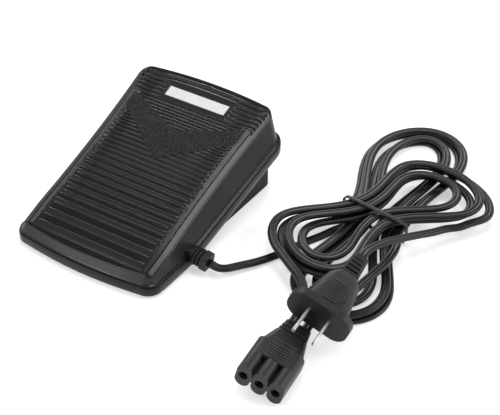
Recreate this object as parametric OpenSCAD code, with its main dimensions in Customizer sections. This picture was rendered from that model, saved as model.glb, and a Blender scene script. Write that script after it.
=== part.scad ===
// Foot control of a sewing machine.
// A ribbed cover and the shell clamped under it rock as one on a wedge-shaped
// base. Pressing the toe end drives a lever over a resistance track. A flat
// twin cord leaves the side of the shell, is tied up in a hank and ends in the
// machine's three-way connector, from where a second cord goes to the plug.
// X runs across the pedal, Y from heel to toe, Z up from the floor.

/* [Pedal] */
// Width over the rim at the toe end
toe_w = 110; // [104:1:118]
// Width over the rim at the heel end
heel_w = 103; // [98:1:108]
// Length over the rim
pedal_l = 145; // [140:1:150]
// Radius of the rim's corners in plan
corner_r = 12; // [11:0.5:14]
// How far the heel edge bows out
heel_bow = 3; // [1:0.5:5]
// Height of the tread at the heel
heel_h = 12.4; // [12:0.1:14]
// Slope of the tread
tread_angle = 18; // [17:0.5:20]

/* [Shells] */
// Wall of the top cover
cover_wall = 2.4; // [2:0.1:2.6]
// How far the cover stands back from the rim's edge
lip_w = 2; // [1.8:0.1:2.4]
// Height of the rim
rim_h = 6; // [5.6:0.1:6.6]
// Clearance of the rim's underside over the floor at the heel
rim_clear = 1.6; // [1.4:0.1:2]
// Slope of the rim past its knee
rim_angle = 14.4; // [13.5:0.1:15]
// Where along the length the rim starts to climb
knee_y = -30; // [-31:0.5:-29]
// Thickness of the shell's tray
tray_t = 1.8; // [1.6:0.1:2.2]
// Running gap between shell and base
run_gap = 0.6; // [0.5:0.1:0.7]

/* [Tread] */
// Depth of the grooves between the ribs
groove_depth = 0.9; // [0.6:0.1:1.2]
// Widest rib pitch, at the heel
rib_pitch = 9.4; // [9:0.1:9.8]
// Share of the pitch that is groove
groove_share = 0.55; // [0.4:0.05:0.65]
// Width of the name plate
plate_w = 44; // [40:1:50]
// Height of the name plate
plate_h = 7.4; // [7:0.2:8]

/* [Base] */
// Wall of the base
base_wall = 2; // [1.8:0.1:2.2]
// Thickness of the base's floor
floor_t = 2; // [1.8:0.1:2.2]
// Height of the rubber feet under the base
foot_h = 1.2; // [1:0.1:1.3]
// Radius of the rubber feet
foot_r = 5.5; // [5:0.5:6]

/* [Mechanism] */
// Distance of the pivot from the heel edge
hinge_in = 26; // [25:0.5:27]
// Height of the pivot
hinge_z = 8.2; // [8.1:0.1:8.6]
// Radius of the hinge pins
pin_r = 2; // [1.6:0.1:2.2]
// Radial running clearance of pins in their bores
pin_fit = 0.05; // [0.03:0.01:0.08]
// Wire radius of the return springs
spring_wire = 0.6; // [0.5:0.05:0.65]
// Mean radius of the return springs
spring_r = 4.6; // [4.5:0.1:5]

/* [Cord] */
// Width of the flat twin cord
cord_w = 5.6; // [5.2:0.1:5.7]
// Thickness of the flat twin cord
cord_t = 3; // [2.6:0.1:3.1]

/* [Connector and plug] */
// Spacing of the connector's sockets
socket_pitch = 9.6; // [9.2:0.1:10]
// Radius of the connector's sockets
socket_r = 2; // [1.9:0.05:2.1]
// Distance between the plug's blades
blade_pitch = 12.7; // [12:0.1:13]
// Length of the plug's blades
blade_l = 17.5; // [16:0.5:18]
// Width over the plug's flange
flange_w = 38; // [34:1:40]

/* [Hidden] */

$fn = 48;
black = [0.10, 0.10, 0.105];
dark = [0.16, 0.16, 0.165];
rubber = [0.07, 0.07, 0.075];
steel = [0.72, 0.73, 0.75];
brass = [0.78, 0.62, 0.32];

seat = 0.05;                    // gap between faces that are screwed together
far = 100;                      // longer than the pedal in any direction
arc_n = 6;                      // segments of a corner
toe_y = pedal_l / 2;
heel_y = -pedal_l / 2;
hinge_y = heel_y + hinge_in;

// ---- Outline and heights that every shell follows ----

function rim_half(y) = (heel_w + (toe_w - heel_w) * (y - heel_y) / pedal_l) / 2;
function rim_bottom(y) = rim_clear + max(0, y - knee_y) * tan(rim_angle);
function seam_z(y) = rim_bottom(y) + rim_h;
tread_edge_y = heel_y + 3;
function tread_z(y) = heel_h + (y - tread_edge_y) * tan(tread_angle);
tray_rise = 3.4;                // from the rim's underside to the tray's
function tray_bottom(y) = rim_bottom(y) + tray_rise;
function tray_top(y) = tray_bottom(y) + tray_t;

function arc(cx, cy, r, a0, a1, n = arc_n) =
    [for (i = [0:n]) [cx + r * cos(a0 + (a1 - a0) * i / n), cy + r * sin(a0 + (a1 - a0) * i / n)]];

// The rim's plan, drawn in by inset; toe_in takes more off at the toe end.
function outline(inset, toe_in = 0, shift = 0) =
    let (r = corner_r - inset,
        yt = toe_y - corner_r - toe_in,
        yh = heel_y + heel_bow + corner_r,
        xt = rim_half(yt) - corner_r,
        xh = rim_half(yh) - corner_r,
        side = rim_half(knee_y) - inset,
        bow_n = 8)
    [for (p = concat(
        arc(xt, yt, r, 0, 90), arc(-xt, yt, r, 90, 180),
        [[-side, knee_y]], arc(-xh, yh, r, 180, 270),
        [for (i = [1:bow_n - 1]) let (u = 2 * i / bow_n - 1)
            [xh * u, heel_y + inset + heel_bow * u * u]],
        arc(xh, yh, r, 270, 360), [[side, knee_y]])) [p[0], p[1] + shift]];

module plan(inset, toe_in = 0)
    translate([0, 0, -far / 2]) linear_extrude(2 * far) polygon(outline(inset, toe_in));

// What lies between two heights given as functions of y.
module band(low, high)
    rotate([90, 0, 90]) linear_extrude(2 * far, center = true)
        polygon([for (y = [-far, knee_y, far]) [y, low(y)],
            for (y = [far, knee_y, -far]) [y, high(y)]]);

module ring_wall(outer, inner, toe_out = 0, toe_inner = 0)
    difference() { plan(outer, toe_out); plan(inner, toe_inner); }

// A shell lofted through levels [inset, shift, height as a function of y].
module loft(levels) {
    n = len(outline(0));
    points = [for (l = levels) for (p = outline(l[0], 0, l[1])) [p[0], p[1], l[2](p[1])]];
    top = len(levels) - 1;
    sides = [for (k = [0:top - 1]) for (i = [0:n - 1])
        let (a = k * n + i, b = k * n + (i + 1) % n) each [[a, a + n, b], [b, a + n, b + n]]];
    polyhedron(points, concat([[for (i = [0:n - 1]) i]], sides,
        [[for (i = [n - 1:-1:0]) top * n + i]]));
}

// ---- Frames that pieces are placed in ----

module tread_frame()
    translate([0, tread_edge_y, tread_z(tread_edge_y)]) rotate([tread_angle, 0, 0]) children();
module tray_frame()
    translate([0, knee_y, tray_top(knee_y)]) rotate([rim_angle, 0, 0]) children();
module along_x(x, y, z) translate([x, y, z]) rotate([0, 90, 0]) children();
module both_sides() for (s = [-1, 1]) scale_x(s) children();
module scale_x(s) if (s > 0) children(); else mirror([1, 0, 0]) children();

// ---- Insets from the rim's edge, from outside to inside ----

ring_in = lip_w + cover_wall + 1.4;     // the shell's opening for the base
tongue_out = lip_w + cover_wall + 0.6;  // tongue that centres the cover
tongue_y = -10;                         // it runs from here round the toe
tongue_h = 2;
base_in = ring_in + run_gap;
base_toe_in = 2.5;                      // the base stands back at the toe
base_inner = base_in + base_wall;
tray_in = base_inner + run_gap + 0.2;
tray_toe_in = 5.4;
slot_y = hinge_y - 7;                   // the tray's slots start here
plate_z = foot_h;                       // underside of the base's floor
floor_z = foot_h + floor_t;             // its top

// ---- Places ----

screw_r = 1.4;
heel_screw = [rim_half(heel_y) - 14.5, heel_y + 12];
toe_screw = [rim_half(toe_y) - 15, toe_y - 25];
foot_heel = [26, heel_y + 16];
foot_toe = [38, toe_y - 20];
spring_at = [24, toe_y - 44];
hook_at = 20;
lever_y = toe_y - 45;
travel_at = lever_y - (lever_y - hinge_y) / 4 - 0.6;    // y of the travel screw
travel_head_z = 17;
relief_y = -29.5;
relief_z = 9.2;
relief_droop = 10;
relief_out = 11.4;                      // reach of the relief past the rim

// ---- Top cover ----

draft_in = 2.9;          // how far the side wall leans in up to the tread
lean = -2.2;             // the tread lies this much nearer the heel
bevel_h = 2.4;           // height of the bevelled edge
inner_drop = cover_wall + 0.3;

module cover_outside() loft([
    [lip_w, 0, function (y) -foot_h],
    [lip_w, 0, function (y) seam_z(y)],
    [lip_w + draft_in - 0.5, lean + 0.2, function (y) tread_z(y) - bevel_h],
    [lip_w + draft_in, lean, function (y) tread_z(y) - bevel_h / 2],
    [lip_w + draft_in + 1.2, lean, function (y) tread_z(y) - bevel_h / 4],
    [lip_w + draft_in + 3.3, lean, function (y) tread_z(y)]]);

module cover_inside() loft([
    [lip_w + cover_wall, 0, function (y) -foot_h - 1],
    [lip_w + cover_wall, 0, function (y) seam_z(y)],
    [lip_w + cover_wall + draft_in - 0.4, lean, function (y) tread_z(y) - inner_drop - 1.6],
    [lip_w + cover_wall + draft_in + 1.6, lean, function (y) tread_z(y) - inner_drop]]);

// The ribs stand in groups of even pitch, closer and closer towards the middle
// and wider again at the toe: [share of the widest pitch, number of ribs].
field_l = pedal_l - 12;
rib_groups = [[1, 2], [0.745, 1], [0.622, 3], [0.49, 4], [0.362, 5], [0.33, 2], [0.25, 4], [0.24, 7], [0.34, 5]];
rib_pitches = [for (g = rib_groups) for (i = [1:g[1]]) g[0] * rib_pitch];
rib_first = 7;
rib_edges = [for (i = 0, s = rib_first; i <= len(rib_pitches) && s <= field_l + 0.5;
    s = s + (i < len(rib_pitches) ? rib_pitches[i] : 0), i = i + 1) s];
toe_ribs_s = field_l - 14;               // from here the grooves run right across
field_heel_half = 39;
field_toe_half = 42.4;
function field_half(s) = field_heel_half + (field_toe_half - field_heel_half) * s / field_l;

// The chevron that stands between the ribs, in tread coordinates.
chevron_low = pedal_l - 67;
chevron_top = pedal_l - 43;
chevron_side = [pedal_l - 36, pedal_l - 25];
module chevron_plan() polygon([[0, chevron_low], [field_toe_half + 1, chevron_side[0]],
    [field_toe_half + 1, chevron_side[1]], [0, chevron_top],
    [-field_toe_half - 1, chevron_side[1]], [-field_toe_half - 1, chevron_side[0]]]);

module rib_grooves() for (i = [0:len(rib_edges) - 2]) {
    w = (rib_edges[i + 1] - rib_edges[i]) * groove_share;
    half = rib_edges[i] > toe_ribs_s ? far : field_half(rib_edges[i]) - (i % 2);
    translate([-half, rib_edges[i + 1] - w, -groove_depth]) cube([2 * half, w, 2 * groove_depth]);
}

// Two grooves down each side of the tread.
side_line_w = 0.6;
side_lines_in = [lip_w + draft_in + 4, min(lip_w + draft_in + 6.4, corner_r - side_line_w - 0.1)];
module side_lines() intersection() {
    translate([0, lean, 0]) for (in = side_lines_in) ring_wall(in, in + side_line_w);
    tread_frame() translate([-far, 6, -groove_depth]) cube([2 * far, field_l - 6, 2 * groove_depth]);
    both_sides() translate([rim_half(0) / 2, -far, 0]) cube([far, 2 * far, far]);
}

plate_t = 0.6;
plate_s = pedal_l - 17;
module plate_recess(grow, depth)
    tread_frame() translate([-plate_w / 2 - grow, plate_s - plate_h / 2 - grow, -depth])
        cube([plate_w + 2 * grow, plate_h + 2 * grow, 2 * depth]);

module screw_boss(at, r) translate([at[0], at[1], screw_pad_top(at)])
    cylinder(r = r, h = tread_z(at[1]) - inner_drop / 2 - screw_pad_top(at));
function screw_pad_top(at) = tray_top(at[1]) + 1.2;
function screw_pad_bottom(at) = tray_bottom(at[1]) - 1.2;
boss_r = 3.6;
head_r = 3;
head_h = 2;

relief_neck = [7.2, 6.8];               // through the wall, along Y and Z
module relief_notch(grow) translate([0, relief_y - relief_neck[0] / 2 - grow,
        relief_z - relief_neck[1] / 2 - grow])
    cube([far, relief_neck[0] + 2 * grow, relief_neck[1] + 2 * grow]);

module top_cover() color(black) difference() {
    union() {
        difference() { cover_outside(); cover_inside(); }
        both_sides() for (at = [heel_screw, toe_screw]) screw_boss(at, boss_r);
    }
    band(function (y) -far, function (y) seam_z(y) + seat);
    both_sides() for (at = [heel_screw, toe_screw])
        translate([at[0], at[1], 0])
            cylinder(r = screw_r, h = tread_z(at[1]) - inner_drop - 0.2);
    both_sides() for (at = [heel_screw, toe_screw])
        translate([at[0], at[1], 0]) cylinder(r = boss_r + 1, h = screw_pad_top(at) + seat);
    tread_frame() difference() {
        rib_grooves();
        linear_extrude(8, center = true) chevron_plan();
        translate([-plate_w / 2 - 3, plate_s - plate_h, -4]) cube([plate_w + 6, 2 * plate_h, 8]);
    }
    side_lines();
    plate_recess(0.2, plate_t + seat);
    relief_notch(0.15);
}

module name_plate() color("white") tread_frame()
    translate([-plate_w / 2, plate_s - plate_h / 2, -plate_t]) cube([plate_w, plate_h, plate_t]);

// ---- Lower shell: rim, tongue and the tray that reaches back inside the base ----

boss_len = 7;
tray_half_hinge = rim_half(hinge_y) - tray_in;
pivot_boss_r = hinge_z - floor_z - 0.6;
board_h = 3;                             // height of the board's standoffs
board_x = [-35, -9];
board_s = [pedal_l / 2 - 47, pedal_l / 2 + 11];
board_holes = [for (x = [board_x[0] + 3, board_x[1] - 3]) for (s = [board_s[0] + 3, board_s[1] - 3]) [x, s]];
spring_top = tray_bottom(spring_at[1] - spring_r - 2) - 0.2;
peg_r = spring_r - spring_wire - 0.8;
peg_h = 3;
lever_pivot = [lever_y, tray_top(lever_y) + 4.6];
lever_half = 2.4;
axle_r = 1.5;
clamp_x = [33, 41];
track_x = lever_half + 1.7;

module lower_shell() color(dark) difference() {
    union() {
        intersection() {
            difference() {
                ring_wall(0, ring_in);
                intersection() {
                    ring_wall(lip_w - 0.9, lip_w);
                    band(function (y) seam_z(y) - 1.2, function (y) far);
                }
            }
            band(function (y) rim_bottom(y), function (y) seam_z(y));
        }
        intersection() {
            ring_wall(tongue_out, ring_in);
            band(function (y) rim_bottom(y) + 1, function (y) seam_z(y) + tongue_h);
            translate([-far, tongue_y, 0]) cube(2 * far);
        }
        intersection() {
            union() {
                intersection() {
                    plan(ring_in - 0.5);
                    translate([-far, -far, -far]) cube([2 * far, far + slot_y, 2 * far]);
                }
                intersection() {
                    plan(tray_in, tray_toe_in);
                    translate([-far, slot_y - 1, -far]) cube([2 * far, far, 2 * far]);
                }
            }
            band(function (y) tray_bottom(y), function (y) tray_top(y));
        }
        both_sides() along_x(tray_half_hinge - boss_len - 0.3, hinge_y, hinge_z)
            cylinder(r = pivot_boss_r, h = boss_len);
        both_sides() for (at = [heel_screw, toe_screw])
            translate([at[0], at[1], screw_pad_bottom(at)])
                cylinder(r = head_r + 1.2, h = screw_pad_top(at) - screw_pad_bottom(at));
        both_sides() translate([spring_at[0], spring_at[1], 0]) {
            translate([0, 0, spring_top])
                cylinder(r = spring_r + 2, h = tray_top(spring_at[1]) - spring_top - 0.5);
            translate([0, 0, spring_top - peg_h]) cylinder(r = peg_r, h = peg_h + 1);
        }
        tray_frame() for (p = board_holes) translate([p[0], p[1], -0.5])
            cylinder(r = 2.4, h = board_h + 0.5);
        // bearing post of the lever's axle and the ears beside the cord
        difference() {
            translate([-lever_half - 5, lever_y - 4, lever_pivot[1] - 7])
                cube([3.6, 8, 11]);
            band(function (y) -far, function (y) tray_bottom(y) + 0.4);
        }
        for (y = [relief_y - cord_w / 2 - 3.4, relief_y + cord_w / 2 + 0.4])
            translate([clamp_x[0], y, tray_bottom(knee_y) + 0.5])
                cube([clamp_x[1] - clamp_x[0], 3, relief_z + cord_t / 2 - tray_bottom(knee_y) - 0.5]);
    }
    both_sides() along_x(tray_half_hinge - boss_len - 1, hinge_y, hinge_z)
        cylinder(r = pin_r + pin_fit, h = boss_len + 2);
    both_sides() for (at = [heel_screw, toe_screw]) translate([at[0], at[1], 0]) {
        cylinder(r = screw_r + 0.1, h = far);
        cylinder(r = head_r + 0.1, h = screw_pad_bottom(at) + head_h + 0.2);
    }
    translate([0, travel_at, 0]) cylinder(r = 6, h = far);
    tray_frame() for (p = board_holes) translate([p[0], p[1], 0.4]) cylinder(r = 1, h = far);
    along_x(-far / 2, lever_pivot[0], lever_pivot[1]) cylinder(r = axle_r, h = far);
    for (y = [relief_y - cord_w / 2 - 1.9, relief_y + cord_w / 2 + 1.9])
        translate([(clamp_x[0] + clamp_x[1]) / 2, y, tray_bottom(knee_y) + 1]) cylinder(r = 0.9, h = 20);
    relief_notch(0.15);
}

module cover_screws() color(steel) both_sides() for (at = [heel_screw, toe_screw])
    translate([at[0], at[1], screw_pad_bottom(at) + 0.2]) difference() {
        union() {
            cylinder(r = head_r, h = head_h);
            cylinder(r = screw_r - 0.02, h = min(12, tread_z(at[1]) - inner_drop - 1 - screw_pad_bottom(at)));
        }
        for (a = [0, 90]) rotate(a) translate([-1.6, -0.4, -1]) cube([3.2, 0.8, 2]);
    }

// ---- Base ----

wall_y = -24;                            // the base's side walls start here
lug_half = 4.4;
hook_drop = 0.3;
tray_end = toe_y - tray_in - tray_toe_in;
base_end = toe_y - base_inner - base_toe_in;

module base_plate() color(dark) difference() {
    union() {
        intersection() {
            plan(base_in, base_toe_in);
            band(function (y) plate_z, function (y) floor_z);
        }
        intersection() {
            ring_wall(base_in, base_inner, base_toe_in, base_toe_in);
            band(function (y) plate_z, function (y) rim_bottom(y) + 2.5);
            translate([-far, wall_y, 0]) cube([2 * far, far + toe_y, far]);
        }
        // hinge lugs in the line of the side walls
        intersection() {
            ring_wall(base_in, base_inner, base_toe_in, base_toe_in);
            union() {
                translate([-far, hinge_y - lug_half, plate_z]) cube([2 * far, 2 * lug_half, hinge_z - plate_z]);
                along_x(-far, hinge_y, hinge_z) cylinder(r = lug_half, h = 2 * far);
            }
        }
        // hooks on the back wall that hold the tray down at rest
        both_sides() translate([hook_at - 5, 0, 0]) {
            translate([0, base_end - 1.4, floor_z - 0.5])
                cube([10, 1.9, tray_top(tray_end) + 3 - floor_z]);
            translate([0, tray_end - 1.4, tray_top(tray_end) + hook_drop])
                cube([10, base_end - tray_end + 1, 2.2]);
        }
        both_sides() translate([spring_at[0], spring_at[1], floor_z - 0.5]) cylinder(r = peg_r, h = 4.5);
        translate([0, travel_at, floor_z - 0.5]) cylinder(r = 4.6, h = travel_head_z - floor_z - 4);
        for (x = [-30, 0, 30]) translate([x - 0.75, -58, floor_z - 0.5]) cube([1.5, 24, 1.3]);
    }
    both_sides() along_x(tray_half_hinge - 2, hinge_y, hinge_z) cylinder(r = pin_r, h = 12);
    both_sides() for (at = [heel_screw, toe_screw]) translate([at[0], at[1], -1])
        cylinder(r = head_r + 0.8, h = floor_z + 2);
    both_sides() for (at = [foot_heel, foot_toe]) translate([at[0], at[1], -1]) cylinder(r = foot_r / 2, h = floor_z + 2);
    translate([0, travel_at, -1]) cylinder(r = 2, h = travel_head_z);
}

module rubber_feet() color(rubber) both_sides() for (at = [foot_heel, foot_toe])
    translate([at[0], at[1], 0]) {
        cylinder(r1 = foot_r - 0.5, r2 = foot_r, h = foot_h);
        cylinder(r = foot_r / 2, h = floor_z);
        translate([0, 0, floor_z]) cylinder(r1 = foot_r / 2 + 0.6, r2 = foot_r / 2 - 0.6, h = 0.8);
    }

module hinge_pins() color(steel) both_sides()
    along_x(tray_half_hinge - boss_len - 0.3, hinge_y, hinge_z)
        cylinder(r = pin_r, h = boss_len + tray_in - base_in + 0.2);

// A round wire wound up the Z axis: one tube of 6 sides.
module coil(r, wire, length, turns, per_turn = 12) {
    n = turns * per_turn;
    points = [for (i = [0:n]) for (j = [0:5])
        let (a = 360 * i / per_turn, b = 60 * j, d = r + wire * cos(b))
        [d * cos(a), d * sin(a), wire + (length - 2 * wire) * i / n + wire * sin(b)]];
    polyhedron(points, tube_faces(n + 1, 6));
}
function tube_faces(rings, sides) = concat(
    [[for (j = [sides - 1:-1:0]) j]],
    [for (i = [0:rings - 2]) for (j = [0:sides - 1])
        let (a = i * sides + j, b = i * sides + (j + 1) % sides)
        each [[a, b, a + sides], [b, b + sides, a + sides]]],
    [[for (j = [0:sides - 1]) (rings - 1) * sides + j]]);

module return_springs() color(steel) both_sides()
    translate([spring_at[0], spring_at[1], floor_z + seat])
        coil(spring_r, spring_wire, spring_top - floor_z - 2 * seat, 6);

module travel_screw() color(steel) translate([0, travel_at, 0]) difference() {
    union() {
        translate([0, 0, floor_z]) cylinder(r = 1.98, h = travel_head_z - floor_z - 1);
        translate([0, 0, travel_head_z - 2.2]) cylinder(r = 3.4, h = 2.2);
    }
    translate([0, 0, floor_z - 1]) cylinder(r = 1, h = 3, $fn = 6);
}

// ---- Speed lever and track ----

arm_t = 3;
// An arm in the lever's plane: a bar with a round end.
module lever_arm(from, to) {
    d = to - from;
    translate(from) rotate(atan2(d[1], d[0])) translate([0, 0.15 - arm_t / 2]) square([norm(d), arm_t - 0.3]);
    translate(to) circle(arm_t / 2);
}
tip = [travel_at + 0.6, travel_head_z + 0.4 + arm_t / 2];
wiper_end = lever_pivot + [15, 9];
module speed_lever() color("ivory")
    rotate([90, 0, 90]) linear_extrude(2 * lever_half, center = true) difference() {
        union() {
            translate(lever_pivot) circle(3.4);
            lever_arm(lever_pivot, tip);
            lever_arm(lever_pivot, wiper_end);
        }
        translate(lever_pivot) circle(axle_r + pin_fit);
    }

module wiper_contact() color(brass) {
    translate([lever_half, wiper_end[0] - 2.5, wiper_end[1] - 0.9]) cube([0.5, 5, 1.8]);
    along_x(lever_half, wiper_end[0] + 1.6, wiper_end[1]) cylinder(r = 0.9, h = 1.3);
}

module lever_axle() color(steel) along_x(-lever_half - 5, lever_pivot[0], lever_pivot[1]) {
    cylinder(r = axle_r, h = 5.2 + 2 * lever_half);
    translate([0, 0, 5.3 + 2 * lever_half - 0.3]) cylinder(r = axle_r + 1, h = 0.8);
}

module lever_spring() color(steel) along_x(-lever_half - 1.35, lever_pivot[0], lever_pivot[1])
    coil(axle_r + 0.75, 0.2, 1.3, 1.5);

module speed_track() color([0.45, 0.28, 0.12]) translate([track_x, 0, 0]) difference() {
    translate([0, lever_y + 4, lever_pivot[1] - 9]) cube([1.6, 22, 24]);
    band(function (y) -far, function (y) tray_top(y) + seat);
    along_x(-1, lever_y + 22, lever_pivot[1] + 11) cylinder(r = 1.2, h = 4);
}

// ---- Board and what stands on it ----

board_top = board_h + 1.6;
module circuit_board() color([0.10, 0.32, 0.16]) tray_frame() difference() {
    translate([board_x[0], board_s[0], board_h]) cube([board_x[1] - board_x[0], board_s[1] - board_s[0], 1.6]);
    for (p = board_holes) translate([p[0], p[1], 0]) cylinder(r = 1.2, h = 10);
}
module board_screws() color(steel) tray_frame() for (p = board_holes) translate([p[0], p[1], 0]) {
    translate([0, 0, 0.6]) cylinder(r = 0.98, h = board_top - 0.5);
    translate([0, 0, board_top + 0.02]) cylinder(r = 2, h = 1.3);
}
sink_s = board_s[1] - 12;
module heat_sink() color(steel) tray_frame() difference() {
    union() {
        translate([-30, sink_s, board_top + 0.02]) cube([18, 1.6, 10.5]);
        for (i = [0:4]) translate([-30 + i * 4.2, sink_s + 1.5, board_top + 0.02]) cube([1.2, 4.6, 10.5]);
    }
    translate([-23.6, sink_s - 1, board_top + 8.4]) rotate([-90, 0, 0]) cylinder(r = 1.1, h = 9);
}
module triac() color("black") tray_frame() translate([-23.6, sink_s - 0.02, board_top]) {
    difference() {
        union() {
            translate([-5, -4.4, 1.6]) cube([10, 4.4, 5.2]);
            translate([-5, -1.2, 6]) cube([10, 1.2, 5]);
        }
        translate([0, -3, 8.4]) rotate([-90, 0, 0]) cylinder(r = 1.6, h = 4);
    }
    for (x = [-2.5, 0, 2.5]) translate([x, -2.4, 0.02]) cylinder(r = 0.45, h = 1.8);
}
module film_capacitor() color([0.75, 0.60, 0.15]) tray_frame() translate([board_x[0] + 4, board_s[0] + 5, board_top + 0.02]) {
    difference() {
        cube([17, 8, 9.4]);
        for (x = [-1, 16]) translate([x, -1, 8.6]) cube([2, 10, 2]);
    }
}
module power_resistor() color([0.88, 0.87, 0.83]) tray_frame() {
    translate([12, board_s[0] + 16, 1.5]) cube([24, 7, 6.5]);
    for (x = [14, 32]) translate([x, board_s[0] + 17, 0.02]) cube([2, 5, 1.6]);
}
block_at = [10, 4];
block_w = 14;
module terminal_block() color([0.80, 0.80, 0.78]) tray_frame() translate([block_at[0], block_at[1], 0.02]) difference() {
    cube([block_w, 11, 8]);
    for (y = [3, 8]) {
        translate([3.5, y, 3]) cylinder(r = 1.7, h = 6);
        translate([10.5, y, 3]) cylinder(r = 1.7, h = 6);
    }
}

// ---- Cord entry ----

relief_x = rim_half(relief_y) + 0.3;
block_half = 5;
module relief_square(x, w, half, cut = 1.4) translate([x, 0, 0]) rotate([0, 90, 0])
    linear_extrude(w) polygon([for (q = [0:3]) let (a = 90 * q, h = half - cut)
        each [[half * cos(a) - h * sin(a), half * sin(a) + h * cos(a)],
            [h * cos(a) - half * sin(a), h * sin(a) + half * cos(a)]]]);
module strain_relief() color(rubber) difference() {
    translate([0, relief_y, relief_z]) union() {
        inner = rim_half(relief_y) - ring_in - 0.2;
        translate([inner - 2.2, -relief_neck[0] / 2 - 1, -4.4]) cube([2.2, relief_neck[0] + 2, 8.8]);
        translate([inner - 0.1, -relief_neck[0] / 2, -relief_neck[1] / 2])
            cube([relief_x - inner + 0.6, relief_neck[0], relief_neck[1]]);
        translate([relief_x, 0, 0]) rotate([0, relief_droop, 0]) {
            relief_square(0, relief_out, 3.3, 1);
            for (i = [0:2]) relief_square(0.3 + 2.2 * i, 1.3, 4.6);
            relief_square(7, relief_out - 7, block_half);
        }
    }
    translate([0, relief_y - cord_w / 2, relief_z - cord_t / 2]) cube([relief_x - 2, cord_w, cord_t]);
}

wire_w = 1.8;
wire_bend = 2;
function wire_route(j) =
    let (r = wire_bend, x = clamp_x[0] - 5.3 + 2.2 * j,
        a = [clamp_x[0], relief_y - 1.4 + 2.8 * j, relief_z],
        b = [block_at[0] + block_w + seat, relief_y + 8.6 + 5.2 * j, relief_z + 3.4 + 1.4 * j])
    [for (p = concat([a], arc(x + r, a[1] + r, r, 270, 180, 4), arc(x - r, b[1] - r, r, 0, 90, 4), [b]))
        [p[0], p[1], a[2] + (b[2] - a[2]) * (p[1] - a[1]) / (b[1] - a[1])]];
module lead_wires() color([0.25, 0.16, 0.10]) {
    translate([clamp_x[0] + seat, relief_y, relief_z]) rotate([90, 0, 90])
        linear_extrude(relief_x - 2.2 - clamp_x[0]) slab(cord_w, cord_t, 1.2);
    for (j = [0, 1]) sweep(wire_route(j), wire_w, wire_w, round_section);
}

module cord_clamp() color(dark) difference() {
    translate([clamp_x[0], relief_y - cord_w / 2 - 3.4, relief_z + cord_t / 2 + seat])
        cube([clamp_x[1] - clamp_x[0], cord_w + 6.8, 2.2]);
    clamp_holes(1.1);
}
module clamp_holes(r) for (y = [-1, 1])
    translate([(clamp_x[0] + clamp_x[1]) / 2, relief_y + y * (cord_w / 2 + 1.9), 0]) cylinder(r = r, h = 30);
module clamp_screws() color(steel) for (y = [-1, 1])
    translate([(clamp_x[0] + clamp_x[1]) / 2, relief_y + y * (cord_w / 2 + 1.9), 0]) {
        translate([0, 0, tray_bottom(knee_y) + 1.2]) cylinder(r = 0.88, h = relief_z + cord_t / 2 + 2 - tray_bottom(knee_y));
        translate([0, 0, relief_z + cord_t / 2 + 2.2 + 2 * seat]) cylinder(r = 1.8, h = 1.2);
    }

// ---- Cord: sections swept along a route ----

function unit(v) = v / norm(v);
function heading(route, i) = unit(route[min(i + 1, len(route) - 1)] - route[max(i - 1, 0)]);
flat_section = [[1, 0.4], [0.5, 1], [-0.5, 1], [-1, 0.4], [-1, -0.4], [-0.5, -1], [0.5, -1], [1, -0.4]];
hank_section = [[1, 0], [0.6, 1], [-0.6, 1], [-1, 0], [-0.6, -1], [0.6, -1]];
round_section = [for (a = [0:45:315]) [cos(a), sin(a)]];
// A ring of the section at one point of a route; its width lies level.
function ring(p, dir, w, t, section) =
    let (side = unit(cross(dir, [0, 0, 1])), up = cross(side, dir))
    [for (q = section) p + side * (w / 2 * q[0]) + up * (t / 2 * q[1])];
module sweep(route, w, t, section) {
    points = [for (i = [0:len(route) - 1]) each ring(route[i], heading(route, i), w, t, section)];
    polyhedron(points, tube_faces(len(route), len(section)));
}
module flat_cord(route) sweep(route, cord_w, cord_t, flat_section);

// Hanks: the route spirals in to the middle of its length and out again, round
// a long loop that is drawn in at the tie.
tie_at = [125.7, 57.7];
cord_step = 6.3;                         // from cord to cord at the tie
loop_step = [7.4, 13];                   // growth of a loop's length and bulge
layer_h = cord_t + 0.6;
first_layer = cord_t / 2 + 0.15;
// [turns, angle at the start, lean, sag, half lengths, bulges, heights]
pedal_hank = [3.5, 270, -9, 0.04, [92, 76], [42, 50], [first_layer, first_layer + layer_h]];
mains_hank = [3.65, 180, 23, 0.14, [54, 51], [52, 50], [first_layer + 3 * layer_h, first_layer + 2 * layer_h]];
rings_per_loop = 24;
tie_lift = [0.8, 26];                    // the tie passes under the cords

function clamp01(v) = min(1, max(0, v));
function hank_point(h, turn) =
    let (away = abs(turn - h[0] / 2),                   // turns from the innermost
        k = away + 0.5 * clamp01(2 * away - 0.5)        // steps out, wider past the climb
            + 0.2 * clamp01(4 * away - 6),              // and once more at the ends
        climb = clamp01(2 * (turn - h[0] / 2) + 0.5),
        a = h[1] + 360 * turn,
        end = cos(a) > 0 ? 0 : 1,
        p = (h[4][end] + loop_step[0] * k) * cos(a),
        bulge = (h[5][end] + loop_step[1] * k) * (pow(cos(a), 2) - pow(cos(a), 4) / 2),
        q = sin(a) * (1.7 + cord_step * k + bulge) + h[3] * p * p / 100,
        z = h[6][0] + (h[6][1] - h[6][0]) * climb + tie_lift[0] * exp(-(p * p + q * q) / pow(tie_lift[1], 2)))
    [tie_at[0] + p * sin(h[2]) + q * cos(h[2]), tie_at[1] + p * cos(h[2]) - q * sin(h[2]), z];
function hank_route(h) = let (n = round(h[0] * rings_per_loop))
    [for (i = [0:n]) hank_point(h, h[0] * i / n)];

pedal_hank_route = hank_route(pedal_hank);
mains_hank_route = hank_route(mains_hank);

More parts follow.
